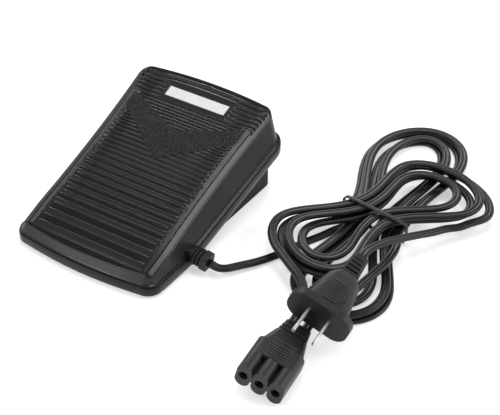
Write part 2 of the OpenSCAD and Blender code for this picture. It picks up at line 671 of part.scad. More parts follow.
// Least gap between the rings of two routes, cord surface to cord surface.
function cord_gap(a, b) = let (level = norm([a[0] - b[0], a[1] - b[1]]) - cord_w, rise = abs(a[2] - b[2]) - cord_t)
    max(level, rise);
function gap_to_self(r) = min([for (i = [0:len(r) - 1]) for (j = [i + 4:1:len(r) - 1]) cord_gap(r[i], r[j])]);
function gap_between(r, s) = min([for (a = r) for (b = s) cord_gap(a, b)]);
function route_length(r) = [for (i = 0, d = 0; i < len(r); d = d + (i < len(r) - 1 ? norm(r[i + 1] - r[i]) : 0), i = i + 1) d][len(r) - 1];
echo(pedal_hank_gap = gap_to_self(pedal_hank_route), mains_hank_gap = gap_to_self(mains_hank_route),
    hanks_apart = gap_between(pedal_hank_route, mains_hank_route));

relief_end = relief_out + 0.45;          // the relief rocks with the pedal, the cord stays
relief_dir = [cos(relief_droop), 0, -sin(relief_droop)];
relief_tip = [relief_x, relief_y, relief_z] + relief_end * relief_dir;
pedal_cord_points = [[72.8, -27.3, 5.3], [76.7, -20.8, 4], [80.7, -14.1, 3], [85.3, -6.3, 2.3],
    [89.7, 2.7, 1.8], [94.2, 13.2, 1.65], [98.7, 24.2, 1.65], [103.7, 34.2, 1.75],
    [107.3, 42.7, 1.9]];
connector_points = [[145.4, 48.7, 7.4], [148, 43.7, 9], [150, 38.2, 9.9], [151.3, 30.7, 10.1],
    [151.5, 20.7, 10.1], [150.1, 7.7, 10.1], [147.9, -7.3, 9.9], [145.1, -24.3, 9.7],
    [142.7, -37.3, 9.5]];
mains_points = [[131.3, -39.3, 11.5], [127.3, -29.1, 11.8], [123.6, -23.4, 12],
    [118.7, -18, 12.2]];
plug_points = [[144.9, 21.1, 20.7], [147.5, 30.4, 18.6], [150.5, 38.4, 16.5],
    [154.2, 46.6, 14.3], [158.6, 55.1, 12.3], [163.4, 63.8, 10.5], [167.7, 71.3, 9.5]];

function with_ends(a, points, b) = concat([a], points, [b]);
// The point one cord width beyond the start, or the end, of a hank.
function before(route) = route[0] - cord_w * unit(route[1] - route[0]);
function beyond(route) = let (n = len(route)) route[n - 1] + cord_w * unit(route[n - 1] - route[n - 2]);
function last(route) = route[len(route) - 1];
echo(lengths = [route_length(pedal_hank_route), route_length(mains_hank_route)]);

pedal_cord_route = with_ends(relief_tip,
    with_ends(relief_tip + cord_w * relief_dir, pedal_cord_points, before(pedal_hank_route)),
    pedal_hank_route[0]);
module pedal_cord() color(rubber) flat_cord(pedal_cord_route);
module pedal_cord_hank() color(rubber) sweep(pedal_hank_route, cord_w, cord_t, hank_section);
module mains_cord_hank() color(rubber) sweep(mains_hank_route, cord_w, cord_t, hank_section);

// ---- Connector ----

connector_at = [138.7, -63.3, 10.4];
connector_yaw = 6;
connector_roll = 14;
body_l = 40;
barrel_half = 4.3;
barrel_h = 3.4;
function spun(p, yaw, roll) = let (x = p[0] * cos(roll) + p[2] * sin(roll), z = p[2] * cos(roll) - p[0] * sin(roll))
    [x * cos(yaw) - p[1] * sin(yaw), x * sin(yaw) + p[1] * cos(yaw), z];
module connector_frame() translate(connector_at) rotate([0, 0, connector_yaw]) rotate([0, connector_roll, 0]) children();
lead_x = 4.2;
connector_back = 12;
module at_y(y0, l) translate([0, y0 + l, 0]) rotate([90, 0, 0]) linear_extrude(l) children();
module slab(w, h, r) {
    square([w - 2 * r, h], center = true);
    square([w, h - 2 * r], center = true);
    for (x = [-1, 1]) for (z = [-1, 1]) translate([x * (w / 2 - r), z * (h / 2 - r)]) circle(r);
}
module connector() color(rubber) connector_frame() difference() {
    union() {
        // three barrels at the front, joined by a thin web
        at_y(-body_l + 4, 13) {
            for (x = [-1:1]) translate([x * socket_pitch, 0]) {
                square([2 * barrel_half, 2 * barrel_h], center = true);
                for (z = [-1, 1]) translate([0, z * barrel_h]) circle(barrel_half);
            }
            square([2 * socket_pitch, 4], center = true);
        }
        at_y(-body_l + 16.9, 12.1) slab(28, 14, 4);
        hull() {
            at_y(-body_l + 28.9, 0.2) slab(26, 12.6, 4);
            at_y(2, 0.2) slab(19, 8.4, 3);
        }
        for (i = [0:2]) at_y(3.4 + 3.2 * i, 1.8) slab(17.6 - i, 7.2 - 0.4 * i, 2.4);
        at_y(2, connector_back - 2) slab(15, 5.6, 2);
    }
    for (x = [-1:1]) translate([x * socket_pitch, -body_l + 3, 0]) rotate([-90, 0, 0]) cylinder(r = socket_r + 0.6, h = 15);
}
module connector_contacts() color(brass) connector_frame() for (x = [-1:1])
    translate([x * socket_pitch, -body_l + 5.5, 0]) rotate([-90, 0, 0]) difference() {
        cylinder(r = socket_r + 0.58, h = 12.4);
        translate([0, 0, -1]) cylinder(r = socket_r, h = 12.4);
    }
function connector_way(side, y) = connector_at + spun([side * lead_x, y, 0], connector_yaw, connector_roll);
function connector_exit(side) = connector_way(side, connector_back + seat);
function connector_run(side) = connector_way(side, connector_back + cord_w);

module connector_lead() color(rubber)
    flat_cord(with_ends(last(pedal_hank_route),
        with_ends(beyond(pedal_hank_route), connector_points, connector_run(1)), connector_exit(1)));
module mains_lead() color(rubber)
    flat_cord(with_ends(connector_exit(-1),
        with_ends(connector_run(-1), mains_points, before(mains_hank_route)), mains_hank_route[0]));

// ---- Mains plug ----

plug_at = [145.7, -15.3, 22];
plug_yaw = 4;
plug_roll = 20;
plug_l = 34;
module plug_frame() translate(plug_at) rotate([0, 0, plug_yaw]) rotate([0, plug_roll, 0]) children();
plug_back = 22;
module mains_plug() color(rubber) plug_frame() {
    difference() {
        union() {
            at_y(-plug_l, 5) slab(flange_w, 19, 8);
            hull() {
                at_y(-plug_l + 4.9, 0.2) slab(29, 17, 6);
                at_y(-4, 0.2) slab(20, 13, 5);
            }
            hull() {
                at_y(-4, 0.2) slab(20, 13, 5);
                at_y(2, 0.2) slab(13, 9, 3);
            }
        }
        for (x = [-1, 1]) translate([x * blade_pitch / 2 - 0.8, -plug_l - 1, -3.2]) cube([1.6, 8, 6.4]);
    }
    for (i = [0:4]) at_y(3.2 + 3.6 * i, 2) slab(11.6 - 0.7 * i, 7.4 - 0.5 * i, 2);
    at_y(1.8, plug_back - 1.8) slab(8, 4.6, 1.6);
}
module plug_blades() color(steel) plug_frame() for (x = [-1, 1])
    translate([x * blade_pitch / 2 - 0.75, -plug_l - blade_l, -3.17]) difference() {
        cube([1.5, blade_l + 6, 6.35]);
        translate([-1, 3.2, 3.17]) rotate([0, 90, 0]) cylinder(r = 1.6, h = 4);
    }
plug_exit = plug_at + spun([0, plug_back + seat, 0], plug_yaw, plug_roll);
plug_run = plug_at + spun([0, plug_back + cord_w, 0], plug_yaw, plug_roll);
module plug_lead() color(rubber)
    flat_cord(with_ends(plug_exit,
        with_ends(plug_run, plug_points, beyond(mains_hank_route)), last(mains_hank_route)));

// ---- Tie round the hank ----

tie_in = [22.8, first_layer + 3 * layer_h + tie_lift[0] + cord_t / 2 - 0.1];
tie_t = 0.6;
tie_yaw = -7;
module cord_tie() color(rubber) translate([tie_at[0], tie_at[1], 0]) rotate(tie_yaw)
    translate([0, 1.5, tie_in[1] / 2 + tie_t]) rotate([90, 0, 0]) linear_extrude(3) difference() {
        slab(2 * tie_in[0] + 2 * tie_t, tie_in[1] + 2 * tie_t, 3);
        slab(2 * tie_in[0], tie_in[1], 2.4);
    }

top_cover();
name_plate();
lower_shell();
cover_screws();
base_plate();
rubber_feet();
hinge_pins();
return_springs();
travel_screw();
speed_lever();
wiper_contact();
lever_axle();
lever_spring();
speed_track();
circuit_board();
board_screws();
triac();
heat_sink();
film_capacitor();
power_resistor();
terminal_block();
lead_wires();
cord_clamp();
clamp_screws();
strain_relief();
pedal_cord();
pedal_cord_hank();
connector_lead();
mains_lead();
mains_cord_hank();
plug_lead();
cord_tie();
connector();
connector_contacts();
mains_plug();
plug_blades();
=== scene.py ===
"""Builds the looks of a sewing machine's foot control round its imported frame."""

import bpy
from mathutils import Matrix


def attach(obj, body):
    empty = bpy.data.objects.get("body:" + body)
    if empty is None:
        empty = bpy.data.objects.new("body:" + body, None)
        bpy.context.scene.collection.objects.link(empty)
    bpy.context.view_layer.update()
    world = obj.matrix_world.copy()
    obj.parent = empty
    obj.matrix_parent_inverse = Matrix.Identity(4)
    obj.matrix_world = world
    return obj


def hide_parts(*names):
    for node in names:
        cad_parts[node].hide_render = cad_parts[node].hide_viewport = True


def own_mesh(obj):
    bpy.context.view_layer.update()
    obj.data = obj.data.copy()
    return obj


bl_info = {
    "name": "Sewing machine pedal",
    "version": (1, 0, 0),
    "blender": (4, 5, 0),
    "location": "View3D > Sidebar > Pedal",
    "description": "Makes the ribbed cover, shells, cords, connector and plug of a foot control",
    "category": "Object",
}

import bmesh
import bpy
import numpy as np
from bpy.props import FloatProperty, FloatVectorProperty, PointerProperty
from bpy.types import Operator, Panel, PropertyGroup
from mathutils import Matrix

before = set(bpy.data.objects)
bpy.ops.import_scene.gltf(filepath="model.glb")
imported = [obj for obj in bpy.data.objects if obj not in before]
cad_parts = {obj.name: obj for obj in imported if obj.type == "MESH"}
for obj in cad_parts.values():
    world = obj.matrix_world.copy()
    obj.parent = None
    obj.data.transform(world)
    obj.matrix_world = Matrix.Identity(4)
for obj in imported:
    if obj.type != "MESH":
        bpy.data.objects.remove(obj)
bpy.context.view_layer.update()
MM = 0.001


# ---- Settings ----


def number(name, text, default, **limits):
    """A number to set, in millimetres unless its text says otherwise."""
    return FloatProperty(name=name, description=text, default=default, **limits)


def slope(name, text, degrees):
    """An angle to set."""
    return number(name, text, np.radians(degrees), subtype="ANGLE")


def colour(name, text, default):
    """A base colour to set."""
    return FloatVectorProperty(name=name, description=text, default=default, subtype="COLOR")


class PedalSizes(PropertyGroup):
    """Sizes of the pedal."""

    toe_width: number("Toe width", "Width over the rim at the toe", 110.0)
    heel_width: number("Heel width", "Width over the rim at the heel", 103.0)
    length: number("Length", "Length over the rim", 145.0)
    corner: number("Toe corners", "Radius of the rim's toe corners in plan", 12.0)
    heel_corner: number("Heel corners", "Radius of the rim's heel corners in plan", 9.5)
    toe_bow: number("Toe bow", "How far the tread's toe edge bows out", 3.4)
    heel_bow: number("Heel bow", "How far the heel edge bows out", 3.0)
    heel_height: number("Heel height", "Height of the tread at the heel", 12.4)
    tread_slope: slope("Tread slope", "Slope of the tread", 18.0)
    rim_slope: slope("Rim slope", "Slope of the rim past its knee", 14.4)
    rib_pitch: number("Rib pitch", "Widest rib pitch, at the heel", 9.4)
    groove_depth: number("Groove depth", "Depth of the grooves between the ribs", 0.9)
    groove_share: number("Groove share", "Share of the pitch that is groove", 0.55, min=0.2, max=0.8)
    ramp: number("Ramp", "Length of the ramp that ends a wide groove", 11.0)


class CordSizes(PropertyGroup):
    """Sizes of the cord and of its two hanks."""

    width: number("Cord width", "Width of the flat twin cord", 5.6)
    thickness: number("Cord thickness", "Thickness of the flat twin cord", 3.0)
    step: number("Ring spacing", "Distance between the mesh rings of a cord", 1.3)
    turns_pedal: number("Pedal hank turns", "Number of turns that the pedal's cord is tied up in", 3.5)
    turns_mains: number("Mains hank turns", "Number of turns that the mains cord is tied up in", 3.65)


class PedalColours(PropertyGroup):
    """Base colours of the visible finishes."""

    shell: colour("Shell", "Black moulded plastic of the cover", (0.007, 0.007, 0.0075))
    base: colour("Base", "Black moulded plastic of the base", (0.008, 0.008, 0.0085))
    cord: colour("Cord", "Black sleeve of the cords", (0.006, 0.006, 0.0065))
    moulded: colour("Moulded ends", "Black soft plastic of connector and plug", (0.011, 0.011, 0.0115))
    label: colour("Label", "White of the bare name plate", (0.93, 0.93, 0.94))
    nickel: colour("Nickel", "Plating of the plug's blades", (0.90, 0.89, 0.87))


def sizes():
    """The pedal's sizes."""
    return bpy.context.scene.pedal_sizes


def cords():
    """The cords' sizes."""
    return bpy.context.scene.pedal_cords


def colours():
    """The base colours."""
    return bpy.context.scene.pedal_colours


# ---- Shader nodes and shader maths ----


def adjust(thing, **values):
    """Sets several properties of a thing and returns it."""
    for key, value in values.items():
        setattr(thing, key, value)
    return thing


def add_node(tree, kind, inputs=None, **settings):
    """Adds a node: its settings, then a value or a link for each of the inputs."""
    node = adjust(tree.nodes.new(kind), **settings)
    for key, value in (inputs or {}).items():
        source = value.socket if isinstance(value, Value) else value
        if isinstance(source, bpy.types.NodeSocket):
            tree.links.new(source, node.inputs[key])
        else:
            node.inputs[key].default_value = source
    return node


class Value:
    """A number behind a shader socket; sums and products of it add Math nodes."""

    def __init__(self, tree, socket):
        self.tree = tree
        self.socket = socket

    def math(self, operation, *terms):
        """A Math node on this value and the terms."""
        return maths(self.tree, operation, self, *terms)

    def __add__(self, other):
        return self.math("ADD", other)

    def __mul__(self, other):
        return self.math("MULTIPLY", other)

    def __sub__(self, other):
        return self.math("SUBTRACT", other)

    def __rsub__(self, other):
        return maths(self.tree, "SUBTRACT", other, self)

    __radd__ = __add__
    __rmul__ = __mul__

    def clamped(self, low, high):
        """This value held between two numbers."""
        return self.math("MAXIMUM", low).math("MINIMUM", high)


def maths(tree, operation, *terms):
    """A Math node on terms that are Values or numbers."""
    node = add_node(tree, "ShaderNodeMath", dict(enumerate(terms)), operation=operation)
    return Value(tree, node.outputs[0])


class Finish:
    """A material in the making: its nodes, and the shader at its end."""

    def __init__(self, name):
        self.material = bpy.data.materials.new(name)
        self.material.use_nodes = True
        self.tree = self.material.node_tree
        self.shader = self.tree.nodes["Principled BSDF"]
        self.place = add_node(self.tree, "ShaderNodeTexCoord").outputs["Object"]

    def noise(self, scale, detail=2.0, roughness=0.5):
        """Noise over the piece's own coordinates, around a half."""
        inputs = {"Vector": self.place, "Scale": scale, "Detail": detail, "Roughness": roughness}
        return Value(self.tree, add_node(self.tree, "ShaderNodeTexNoise", inputs).outputs[0])

    def attribute(self, name):
        """A number that the mesh carries at each point."""
        node = add_node(self.tree, "ShaderNodeAttribute", attribute_name=name)
        return Value(self.tree, node.outputs["Fac"])

    def set(self, **constants):
        """Sets inputs of the shader to numbers, such as specular_ior_level=0.4."""
        for key, value in constants.items():
            label = key.replace("_", " ").title().replace("Ior", "IOR")
            self.shader.inputs[label].default_value = value
        return self

    def feed(self, label, socket):
        """Links a socket to an input of the shader."""
        self.tree.links.new(socket, self.shader.inputs[label])

    def gloss(self, value):
        """Roughness by a value."""
        self.feed("Roughness", value.socket)

    def colour(self, base, low, high, fraction):
        """Base colour that runs with a fraction from low to high times the base."""
        ends = [tuple(min(1.0, c * k) for c in base) + (1.0,) for k in (low, high)]
        inputs = {0: fraction, 6: ends[0], 7: ends[1]}
        self.feed("Base Color", add_node(self.tree, "ShaderNodeMix", inputs, data_type="RGBA").outputs[2])

    def bump(self, height, strength, distance):
        """Relief of the shading; distance is in metres."""
        inputs = {"Height": height, "Strength": strength, "Distance": distance}
        self.feed("Normal", add_node(self.tree, "ShaderNodeBump", inputs).outputs[0])


# ---- Finishes ----


def tint(base, k):
    """A colour times k."""
    return tuple(c * k for c in base)


def moulded_plastic(name, base, rough, grain, depth, sheen=0.42):
    """Moulded plastic: fine grain in the surface and slow changes of gloss."""
    f = Finish(name)
    slow = f.noise(45.0, 3.0)
    f.colour(base, 0.85, 1.2, slow)
    f.gloss(slow * 0.08 + (rough - 0.04))
    f.bump(f.noise(grain, 2.0), 0.05, depth)
    return f.set(ior=1.5, specular_ior_level=sheen).material


def cover_plastic(name, base, rough, sheen=0.42):
    """Plastic of the cover: matter on the walls, stippled in the chevron, with painted light and shade: paler on the
    walls and rib tops, darker in the grooves and near the tread's edge.
    """
    f = Finish(name)
    slow = f.noise(45.0, 3.0)
    worn, wall, stipple = f.attribute("worn"), f.attribute("wall"), f.attribute("stipple")
    pebbles = ((f.noise(1150.0, 2.0) - 0.52) * 9.0).clamped(0.0, 1.0) * stipple
    # Painted light and shade: the walls and rib tops are painted paler, and the grooves and the strips by the edge
    # darker.
    f.colour(base, 0.45, 3.6, worn * 0.85 + slow * 0.15 - stipple * 0.75 + pebbles * 1.6)
    f.gloss(slow * 0.08 + wall * 0.2 + stipple * 0.12 + (rough - 0.04))
    f.bump(pebbles, 1.0, 0.0009)
    return f.set(ior=1.5, specular_ior_level=sheen).material


def cord_sleeve(name, base):
    """Smooth drawn sleeve of a cord, with faint waves along it."""
    f = Finish(name)
    slow = f.noise(60.0, 2.0)
    f.colour(base, 0.8, 1.3, slow)
    f.gloss(slow * 0.08 + 0.3)
    f.bump(f.noise(150.0, 1.0), 0.04, 0.0002)
    return f.set(ior=1.5, specular_ior_level=0.36).material


def plated_metal(name, base, rough, scale=700.0):
    """Plated or bright metal with fine handling marks."""
    f = Finish(name)
    marks = f.noise(scale, 4.0, 0.7)
    f.colour(base, 0.9, 1.05, marks)
    f.gloss(marks * 0.16 + (rough - 0.05))
    f.bump(marks, 0.08, 0.0001)
    return f.set(metallic=1.0).material


def plain_finish(name, base, rough, scale=300.0, strength=0.15):
    """Matt or glossy part with slight mottling."""
    f = Finish(name)
    mottle = f.noise(scale, 3.0)
    f.colour(base, 0.88, 1.08, mottle)
    f.gloss(mottle * 0.14 + (rough - 0.07))
    f.bump(mottle, strength, 0.0001)
    return f.material


# ---- Meshes from arrays ----


def make_object(name, points, faces, marks=None):
    """Makes a smooth object of points in millimetres and faces. Marks are numbers by
    point that a finish can read."""
    mesh = bpy.data.meshes.new(name)
    mesh.from_pydata((np.asarray(points, float) * MM).tolist(), [], faces)
    mesh.polygons.foreach_set("use_smooth", np.ones(len(mesh.polygons), bool))
    for key, values in (marks or {}).items():
        layer = mesh.attributes.new(key, "FLOAT", "POINT")
        layer.data.foreach_set("value", np.asarray(values, np.float32))
    mesh.update()
    return link(bpy.data.objects.new(name, mesh))


def link(obj):
    """Puts an object into the scene."""
    bpy.context.scene.collection.objects.link(obj)
    return obj


def grid_faces(rows, cols, wrap=False, flip=False):
    """Quads of a grid of points; wrap closes its rows to rings, flip turns faces over."""
    i, j = np.meshgrid(np.arange(rows - 1), np.arange(cols if wrap else cols - 1), indexing="ij")
    k = (j + 1) % cols
    quads = np.stack([i * cols + j, i * cols + k, (i + 1) * cols + k, (i + 1) * cols + j], -1)
    quads = quads.reshape(-1, 4)
    return (quads[:, ::-1] if flip else quads).tolist()


def join_parts(parts):
    """Joins (points, faces) pairs into one pair."""
    points, faces, start = [], [], 0
    for part_points, part_faces in parts:
        points.append(part_points)
        faces += [[v + start for v in face] for face in part_faces]
        start += len(part_points)
    return np.vstack(points), faces


def tube(rings):
    """Closed tube from an array of rings, rows by points by 3, with flat ends."""
    rows, cols = rings.shape[:2]
    ends = [list(range(cols))[::-1], list(range((rows - 1) * cols, rows * cols))]
    return rings.reshape(-1, 3), grid_faces(rows, cols, wrap=True) + ends


def interval(knots, t):
    """Number of the interval between knots that holds each t."""
    return np.clip(np.searchsorted(knots, t, side="right") - 1, 0, len(knots) - 2)


def smooth_path(points, step):
    """Natural cubic curve through the points over the distance from point to point,
    sampled about every step. The second derivatives m solve the tridiagonal system
    that makes the slopes agree, and are 0 at both ends."""
    p = np.asarray(points, float)
    t = np.concatenate([[0.0], np.cumsum(np.linalg.norm(np.diff(p, axis=0), axis=1))])
    h, n = np.diff(t), len(p)
    i = np.arange(1, n - 1)
    a = np.eye(n)
    a[i, i - 1], a[i, i], a[i, i + 1] = h[:-1], 2 * (h[:-1] + h[1:]), h[1:]
    rate = np.diff(p, axis=0) / h[:, None]
    b = np.zeros((n, 3))
    b[1:-1] = 6 * (rate[1:] - rate[:-1])
    m = np.linalg.solve(a, b)
    s = np.linspace(0.0, t[-1], int(round(t[-1] / step)) + 1)
    k = interval(t, s)
    past, left, hk = (s - t[k])[:, None], (t[k + 1] - s)[:, None], h[k][:, None]
    bend = (m[k] * left**3 + m[k + 1] * past**3) / (6 * hk)
    return bend + (p[k] / hk - m[k] * hk / 6) * left + (p[k + 1] / hk - m[k + 1] * hk / 6) * past


def sweep(path, section):
    """Carries a section of points (across, up) along a path, its width kept level. It
    is one section for all of the path or one for each of its points."""
    d = np.gradient(path, axis=0)
    d = d / np.linalg.norm(d, axis=1)[:, None]
    side = np.cross(d, [0.0, 0.0, 1.0])
    side /= np.linalg.norm(side, axis=1)[:, None]
    up = np.cross(side, d)
    q = np.asarray(section, float)
    return path[:, None] + side[:, None] * q[..., :1] + up[:, None] * q[..., 1:]


def unit(a):
    """Points of the unit circle at the angles a."""
    return np.stack([np.cos(a), np.sin(a)], 1)


def twin_section(w, t):
    """Outline of a twin cord: two round lobes with a shallow valley on each side."""
    r = t / 2
    a = np.radians(np.linspace(-98.0, 98.0, 9))
    right = [w / 2 - r, 0] + r * unit(a)
    top = np.array([[0.28 * r, 0.9 * r], [0.0, 0.8 * r], [-0.28 * r, 0.9 * r]])
    return np.vstack([right, top, -right, -top])


def super_ellipse(w, h, power=4.0, count=40):
    """Ring of a rounded rectangle: |x/w|^power + |z/h|^power = 1, as (x, z) pairs."""
    a = np.linspace(0.0, 2 * np.pi, count, endpoint=False)
    d = unit(a)
    k = (np.abs(d) ** power).sum(axis=1) ** (-1.0 / power)
    return [w, h] * k[:, None] * d


def turned(at, yaw, roll, points):
    """Points rolled about their length, yawed, then moved."""
    y, r = np.radians(yaw), np.radians(roll)
    p = np.asarray(points, float)
    x = p[..., 0] * np.cos(r) + p[..., 2] * np.sin(r)
    z = p[..., 2] * np.cos(r) - p[..., 0] * np.sin(r)
    xy = [x * np.cos(y) - p[..., 1] * np.sin(y), x * np.sin(y) + p[..., 1] * np.cos(y)]
    return np.stack([*xy, z], -1) + np.asarray(at, float)


def even_shading(obj):
    """Lets large faces set the shading, so that flats stay flat."""
    adjust(obj.modifiers.new("Shading", "WEIGHTED_NORMAL"), mode="FACE_AREA", weight=80)


def copy_of(node, name, width, segments=2, angle=34.0):
    """A merged copy of a CAD node, its edges over the angle rounded over a width in
    millimetres, or left sharp where that is 0."""
    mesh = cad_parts[node].data.copy()
    mesh.name = name
    bm = bmesh.new()
    bm.from_mesh(mesh)
    bmesh.ops.remove_doubles(bm, verts=bm.verts, dist=2e-6)
    bmesh.ops.dissolve_degenerate(bm, edges=bm.edges, dist=1e-6)
    bmesh.ops.dissolve_limit(bm, angle_limit=np.radians(0.4), verts=bm.verts, edges=bm.edges)
    for face in bm.faces:
        face.smooth = True
    bm.to_mesh(mesh)
    bm.free()
    for layer in list(mesh.uv_layers):
        mesh.uv_layers.remove(layer)
    mesh.set_sharp_from_angle(angle=np.radians(angle))
    obj = link(bpy.data.objects.new(name, mesh))
    if width:
        adjust(obj.modifiers.new("Edges", "BEVEL"), width=width * MM, segments=segments, limit_method="ANGLE",
               angle_limit=np.radians(angle), harden_normals=True, use_clamp_overlap=True)
    return obj


def join_into(target, other):
    """Bakes the modifiers of target and joins another object into it."""
    depsgraph = bpy.context.evaluated_depsgraph_get()
    baked = bpy.data.meshes.new_from_object(target.evaluated_get(depsgraph))
    target.modifiers.clear()
    bm = bmesh.new()
    bm.from_mesh(baked)
    bm.from_mesh(other.data)
    bm.to_mesh(target.data)
    bm.free()
    bpy.data.objects.remove(other)


def paint(obj, material):
    """Gives a mesh its one finish."""
    obj.data.materials.clear()
    obj.data.materials.append(material)


def dress(obj, material, body, slot, *nodes):
    """Gives a piece its finish and body, and hides the CAD nodes it stands for. Its slot is not used."""
    paint(obj, material)
    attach(obj, body)
    if nodes:
        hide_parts(*nodes)


def axes_matrix(x, y, z, place):
    """Matrix of unit axes at a place in metres."""
    return Matrix(np.vstack([np.column_stack([x, y, z, place]), [0.0, 0.0, 0.0, 1.0]]).tolist())


# ---- Camera ----

CAMERA_TURN = np.radians(32.77)  # round the vertical, from straight behind the heel
CAMERA_LIFT = np.radians(38.14)  # above the floor
CAMERA_BACK, CAMERA_RIGHT, CAMERA_UP = 808.21, 61.42, 1.15  # from the origin, in millimetres


class PEDAL_OT_camera(Operator):
    """Places the camera that looks down on the right heel corner"""

    bl_idname = "pedal.camera"
    bl_label = "Camera"

    def execute(self, context):
        turn, lift = CAMERA_TURN, CAMERA_LIFT
        right = np.array([np.cos(turn), np.sin(turn), 0.0])
        back = np.array([np.sin(turn) * np.cos(lift), -np.cos(turn) * np.cos(lift), np.sin(lift)])
        up = np.cross(back, right)
        data = adjust(bpy.data.cameras.new("camera"), lens=93.6, sensor_width=36.0, clip_end=20.0)
        camera = link(bpy.data.objects.new("camera", data))
        place = (CAMERA_BACK * back + CAMERA_RIGHT * right + CAMERA_UP * up) * MM
        camera.matrix_world = axes_matrix(right, up, back, place)
        context.scene.camera = camera
        return {"FINISHED"}


# ---- Cords ----

TIE_AT = np.array([125.7, 57.7])
# Connector and plug: place of the face's middle, yaw and roll in degrees.
CONNECTOR = ((138.7, -63.3, 10.4), 6.0, 14.0)
PLUG = ((145.7, -15.3, 22.0), 4.0, 20.0)
CONNECTOR_BACK, PLUG_BACK = 12.0, 22.0  # where the cords come out, behind that middle
LEAD_SIDE = 4.2  # half the distance between the connector's two cords
RELIEF_TIP = np.array([64.5079, -29.5, 7.1423])
RELIEF_DROOP = np.radians(10.0)
RELIEF_OUT = np.array([np.cos(RELIEF_DROOP), 0.0, -np.sin(RELIEF_DROOP)])


def hank_path(turns, start, lean, sag, lengths, bulges, heights):
    """Points of a hank: a spiral in to the middle of its length and out again. With k
    the steps out from the innermost turn, it lies (length + 7.4 k) cos a along and
    sin a times (1.7 + 6.3 k + bulge (cos^2 a - cos^4 a / 2)) across, plus a sag with
    the square of the way along. It climbs a layer at the middle and lifts over the tie."""
    n = int(round(turns * 24))
    turn = turns * np.arange(n + 1) / n
    away = np.abs(turn - turns / 2)
    k = away + 0.5 * np.clip(2 * away - 0.5, 0, 1) + 0.2 * np.clip(4 * away - 6, 0, 1)
    climb = np.clip(2 * (turn - turns / 2) + 0.5, 0, 1)
    a = np.radians(start + 360 * turn)
    far = np.where(np.cos(a) > 1e-9, 0, 1)
    p = (np.take(lengths, far) + 7.4 * k) * np.cos(a)
    bulge = (np.take(bulges, far) + 13 * k) * (np.cos(a) ** 2 - np.cos(a) ** 4 / 2)
    q = np.sin(a) * (1.7 + 6.3 * k + bulge) + sag * p * p / 100
    over_tie = 0.8 * np.exp(-(p * p + q * q) / 26.0**2)
    z = heights[0] + (heights[1] - heights[0]) * climb + over_tie
    c, s = np.cos(np.radians(lean)), np.sin(np.radians(lean))
    return np.stack([TIE_AT[0] + p * s + q * c, TIE_AT[1] + p * c - q * s, z], 1)


PEDAL_POINTS = [[72.8, -27.3, 5.3], [76.7, -20.8, 4], [80.7, -14.1, 3], [85.3, -6.3, 2.3], [89.7, 2.7, 1.8],
                [94.2, 13.2, 1.65], [98.7, 24.2, 1.65], [103.7, 34.2, 1.75], [107.3, 42.7, 1.9]]
CONNECTOR_POINTS = [[145.4, 48.7, 7.4], [148, 43.7, 9], [150, 38.2, 9.9], [151.3, 30.7, 10.1], [151.5, 20.7, 10.1],
                    [150.1, 7.7, 10.1], [147.9, -7.3, 9.9], [145.1, -24.3, 9.7], [142.7, -37.3, 9.5]]
MAINS_POINTS = [[131.3, -39.3, 11.5], [127.3, -29.1, 11.8], [123.6, -23.4, 12], [118.7, -18, 12.2]]
PLUG_POINTS = [[144.9, 21.1, 20.7], [147.5, 30.4, 18.6], [150.5, 38.4, 16.5], [154.2, 46.6, 14.3],
               [158.6, 55.1, 12.3], [163.4, 63.8, 10.5], [167.7, 71.3, 9.5]]


def beyond(path, distance):
    """The point a distance straight past the end of a path."""
    d = path[-1] - path[-2]
    return path[-1] + d / np.linalg.norm(d) * distance


def lead_out(piece, side, back):
    """Two points behind a moulded end, side off its middle: just inside it, and a
    cord's width out of it."""
    at, yaw, roll = piece
    return turned(at, yaw, roll, [[side, back + 0.02, 0.0], [side, back + cords().width, 0.0]])


def cord_piece(name, start, hank, end, nodes, material):
    """Sweeps the twin section from start through a hank to end."""
    c = cords()
    route = np.vstack([start, beyond(hank[::-1], c.width), hank, beyond(hank, c.width), end])
    path = smooth_path(route, c.step)
    obj = make_object(name, *tube(sweep(path, twin_section(c.width, c.thickness))))
    dress(obj, material, "base", "cord_black", *nodes)
    (path * MM).tolist()


def make_cords(material):
    """The cord from the pedal to the connector, and the one from there to the plug."""
    c = cords()
    levels = 1.65 + 3.6 * np.arange(4)
    hank = hank_path(c.turns_pedal, start=270, lean=-9, sag=0.04, lengths=(92, 76), bulges=(42, 50),
                     heights=levels[:2])
    start = np.vstack([RELIEF_TIP - 0.4 * RELIEF_OUT, RELIEF_TIP + c.width * RELIEF_OUT, PEDAL_POINTS])
    end = np.vstack([CONNECTOR_POINTS, lead_out(CONNECTOR, LEAD_SIDE, CONNECTOR_BACK)[::-1]])
    cord_piece("cord_of_pedal", start, hank, end,
               ("pedal_cord", "pedal_cord_hank", "connector_lead"), material)
    hank = hank_path(c.turns_mains, start=180, lean=23, sag=0.14, lengths=(54, 51), bulges=(52, 50),
                     heights=levels[:1:-1])
    start = np.vstack([lead_out(CONNECTOR, -LEAD_SIDE, CONNECTOR_BACK), MAINS_POINTS])
    end = np.vstack([PLUG_POINTS[::-1], lead_out(PLUG, 0.0, PLUG_BACK)[::-1]])
    cord_piece("cord_of_plug", start, hank, end,
               ("mains_lead", "mains_cord_hank", "plug_lead"), material)


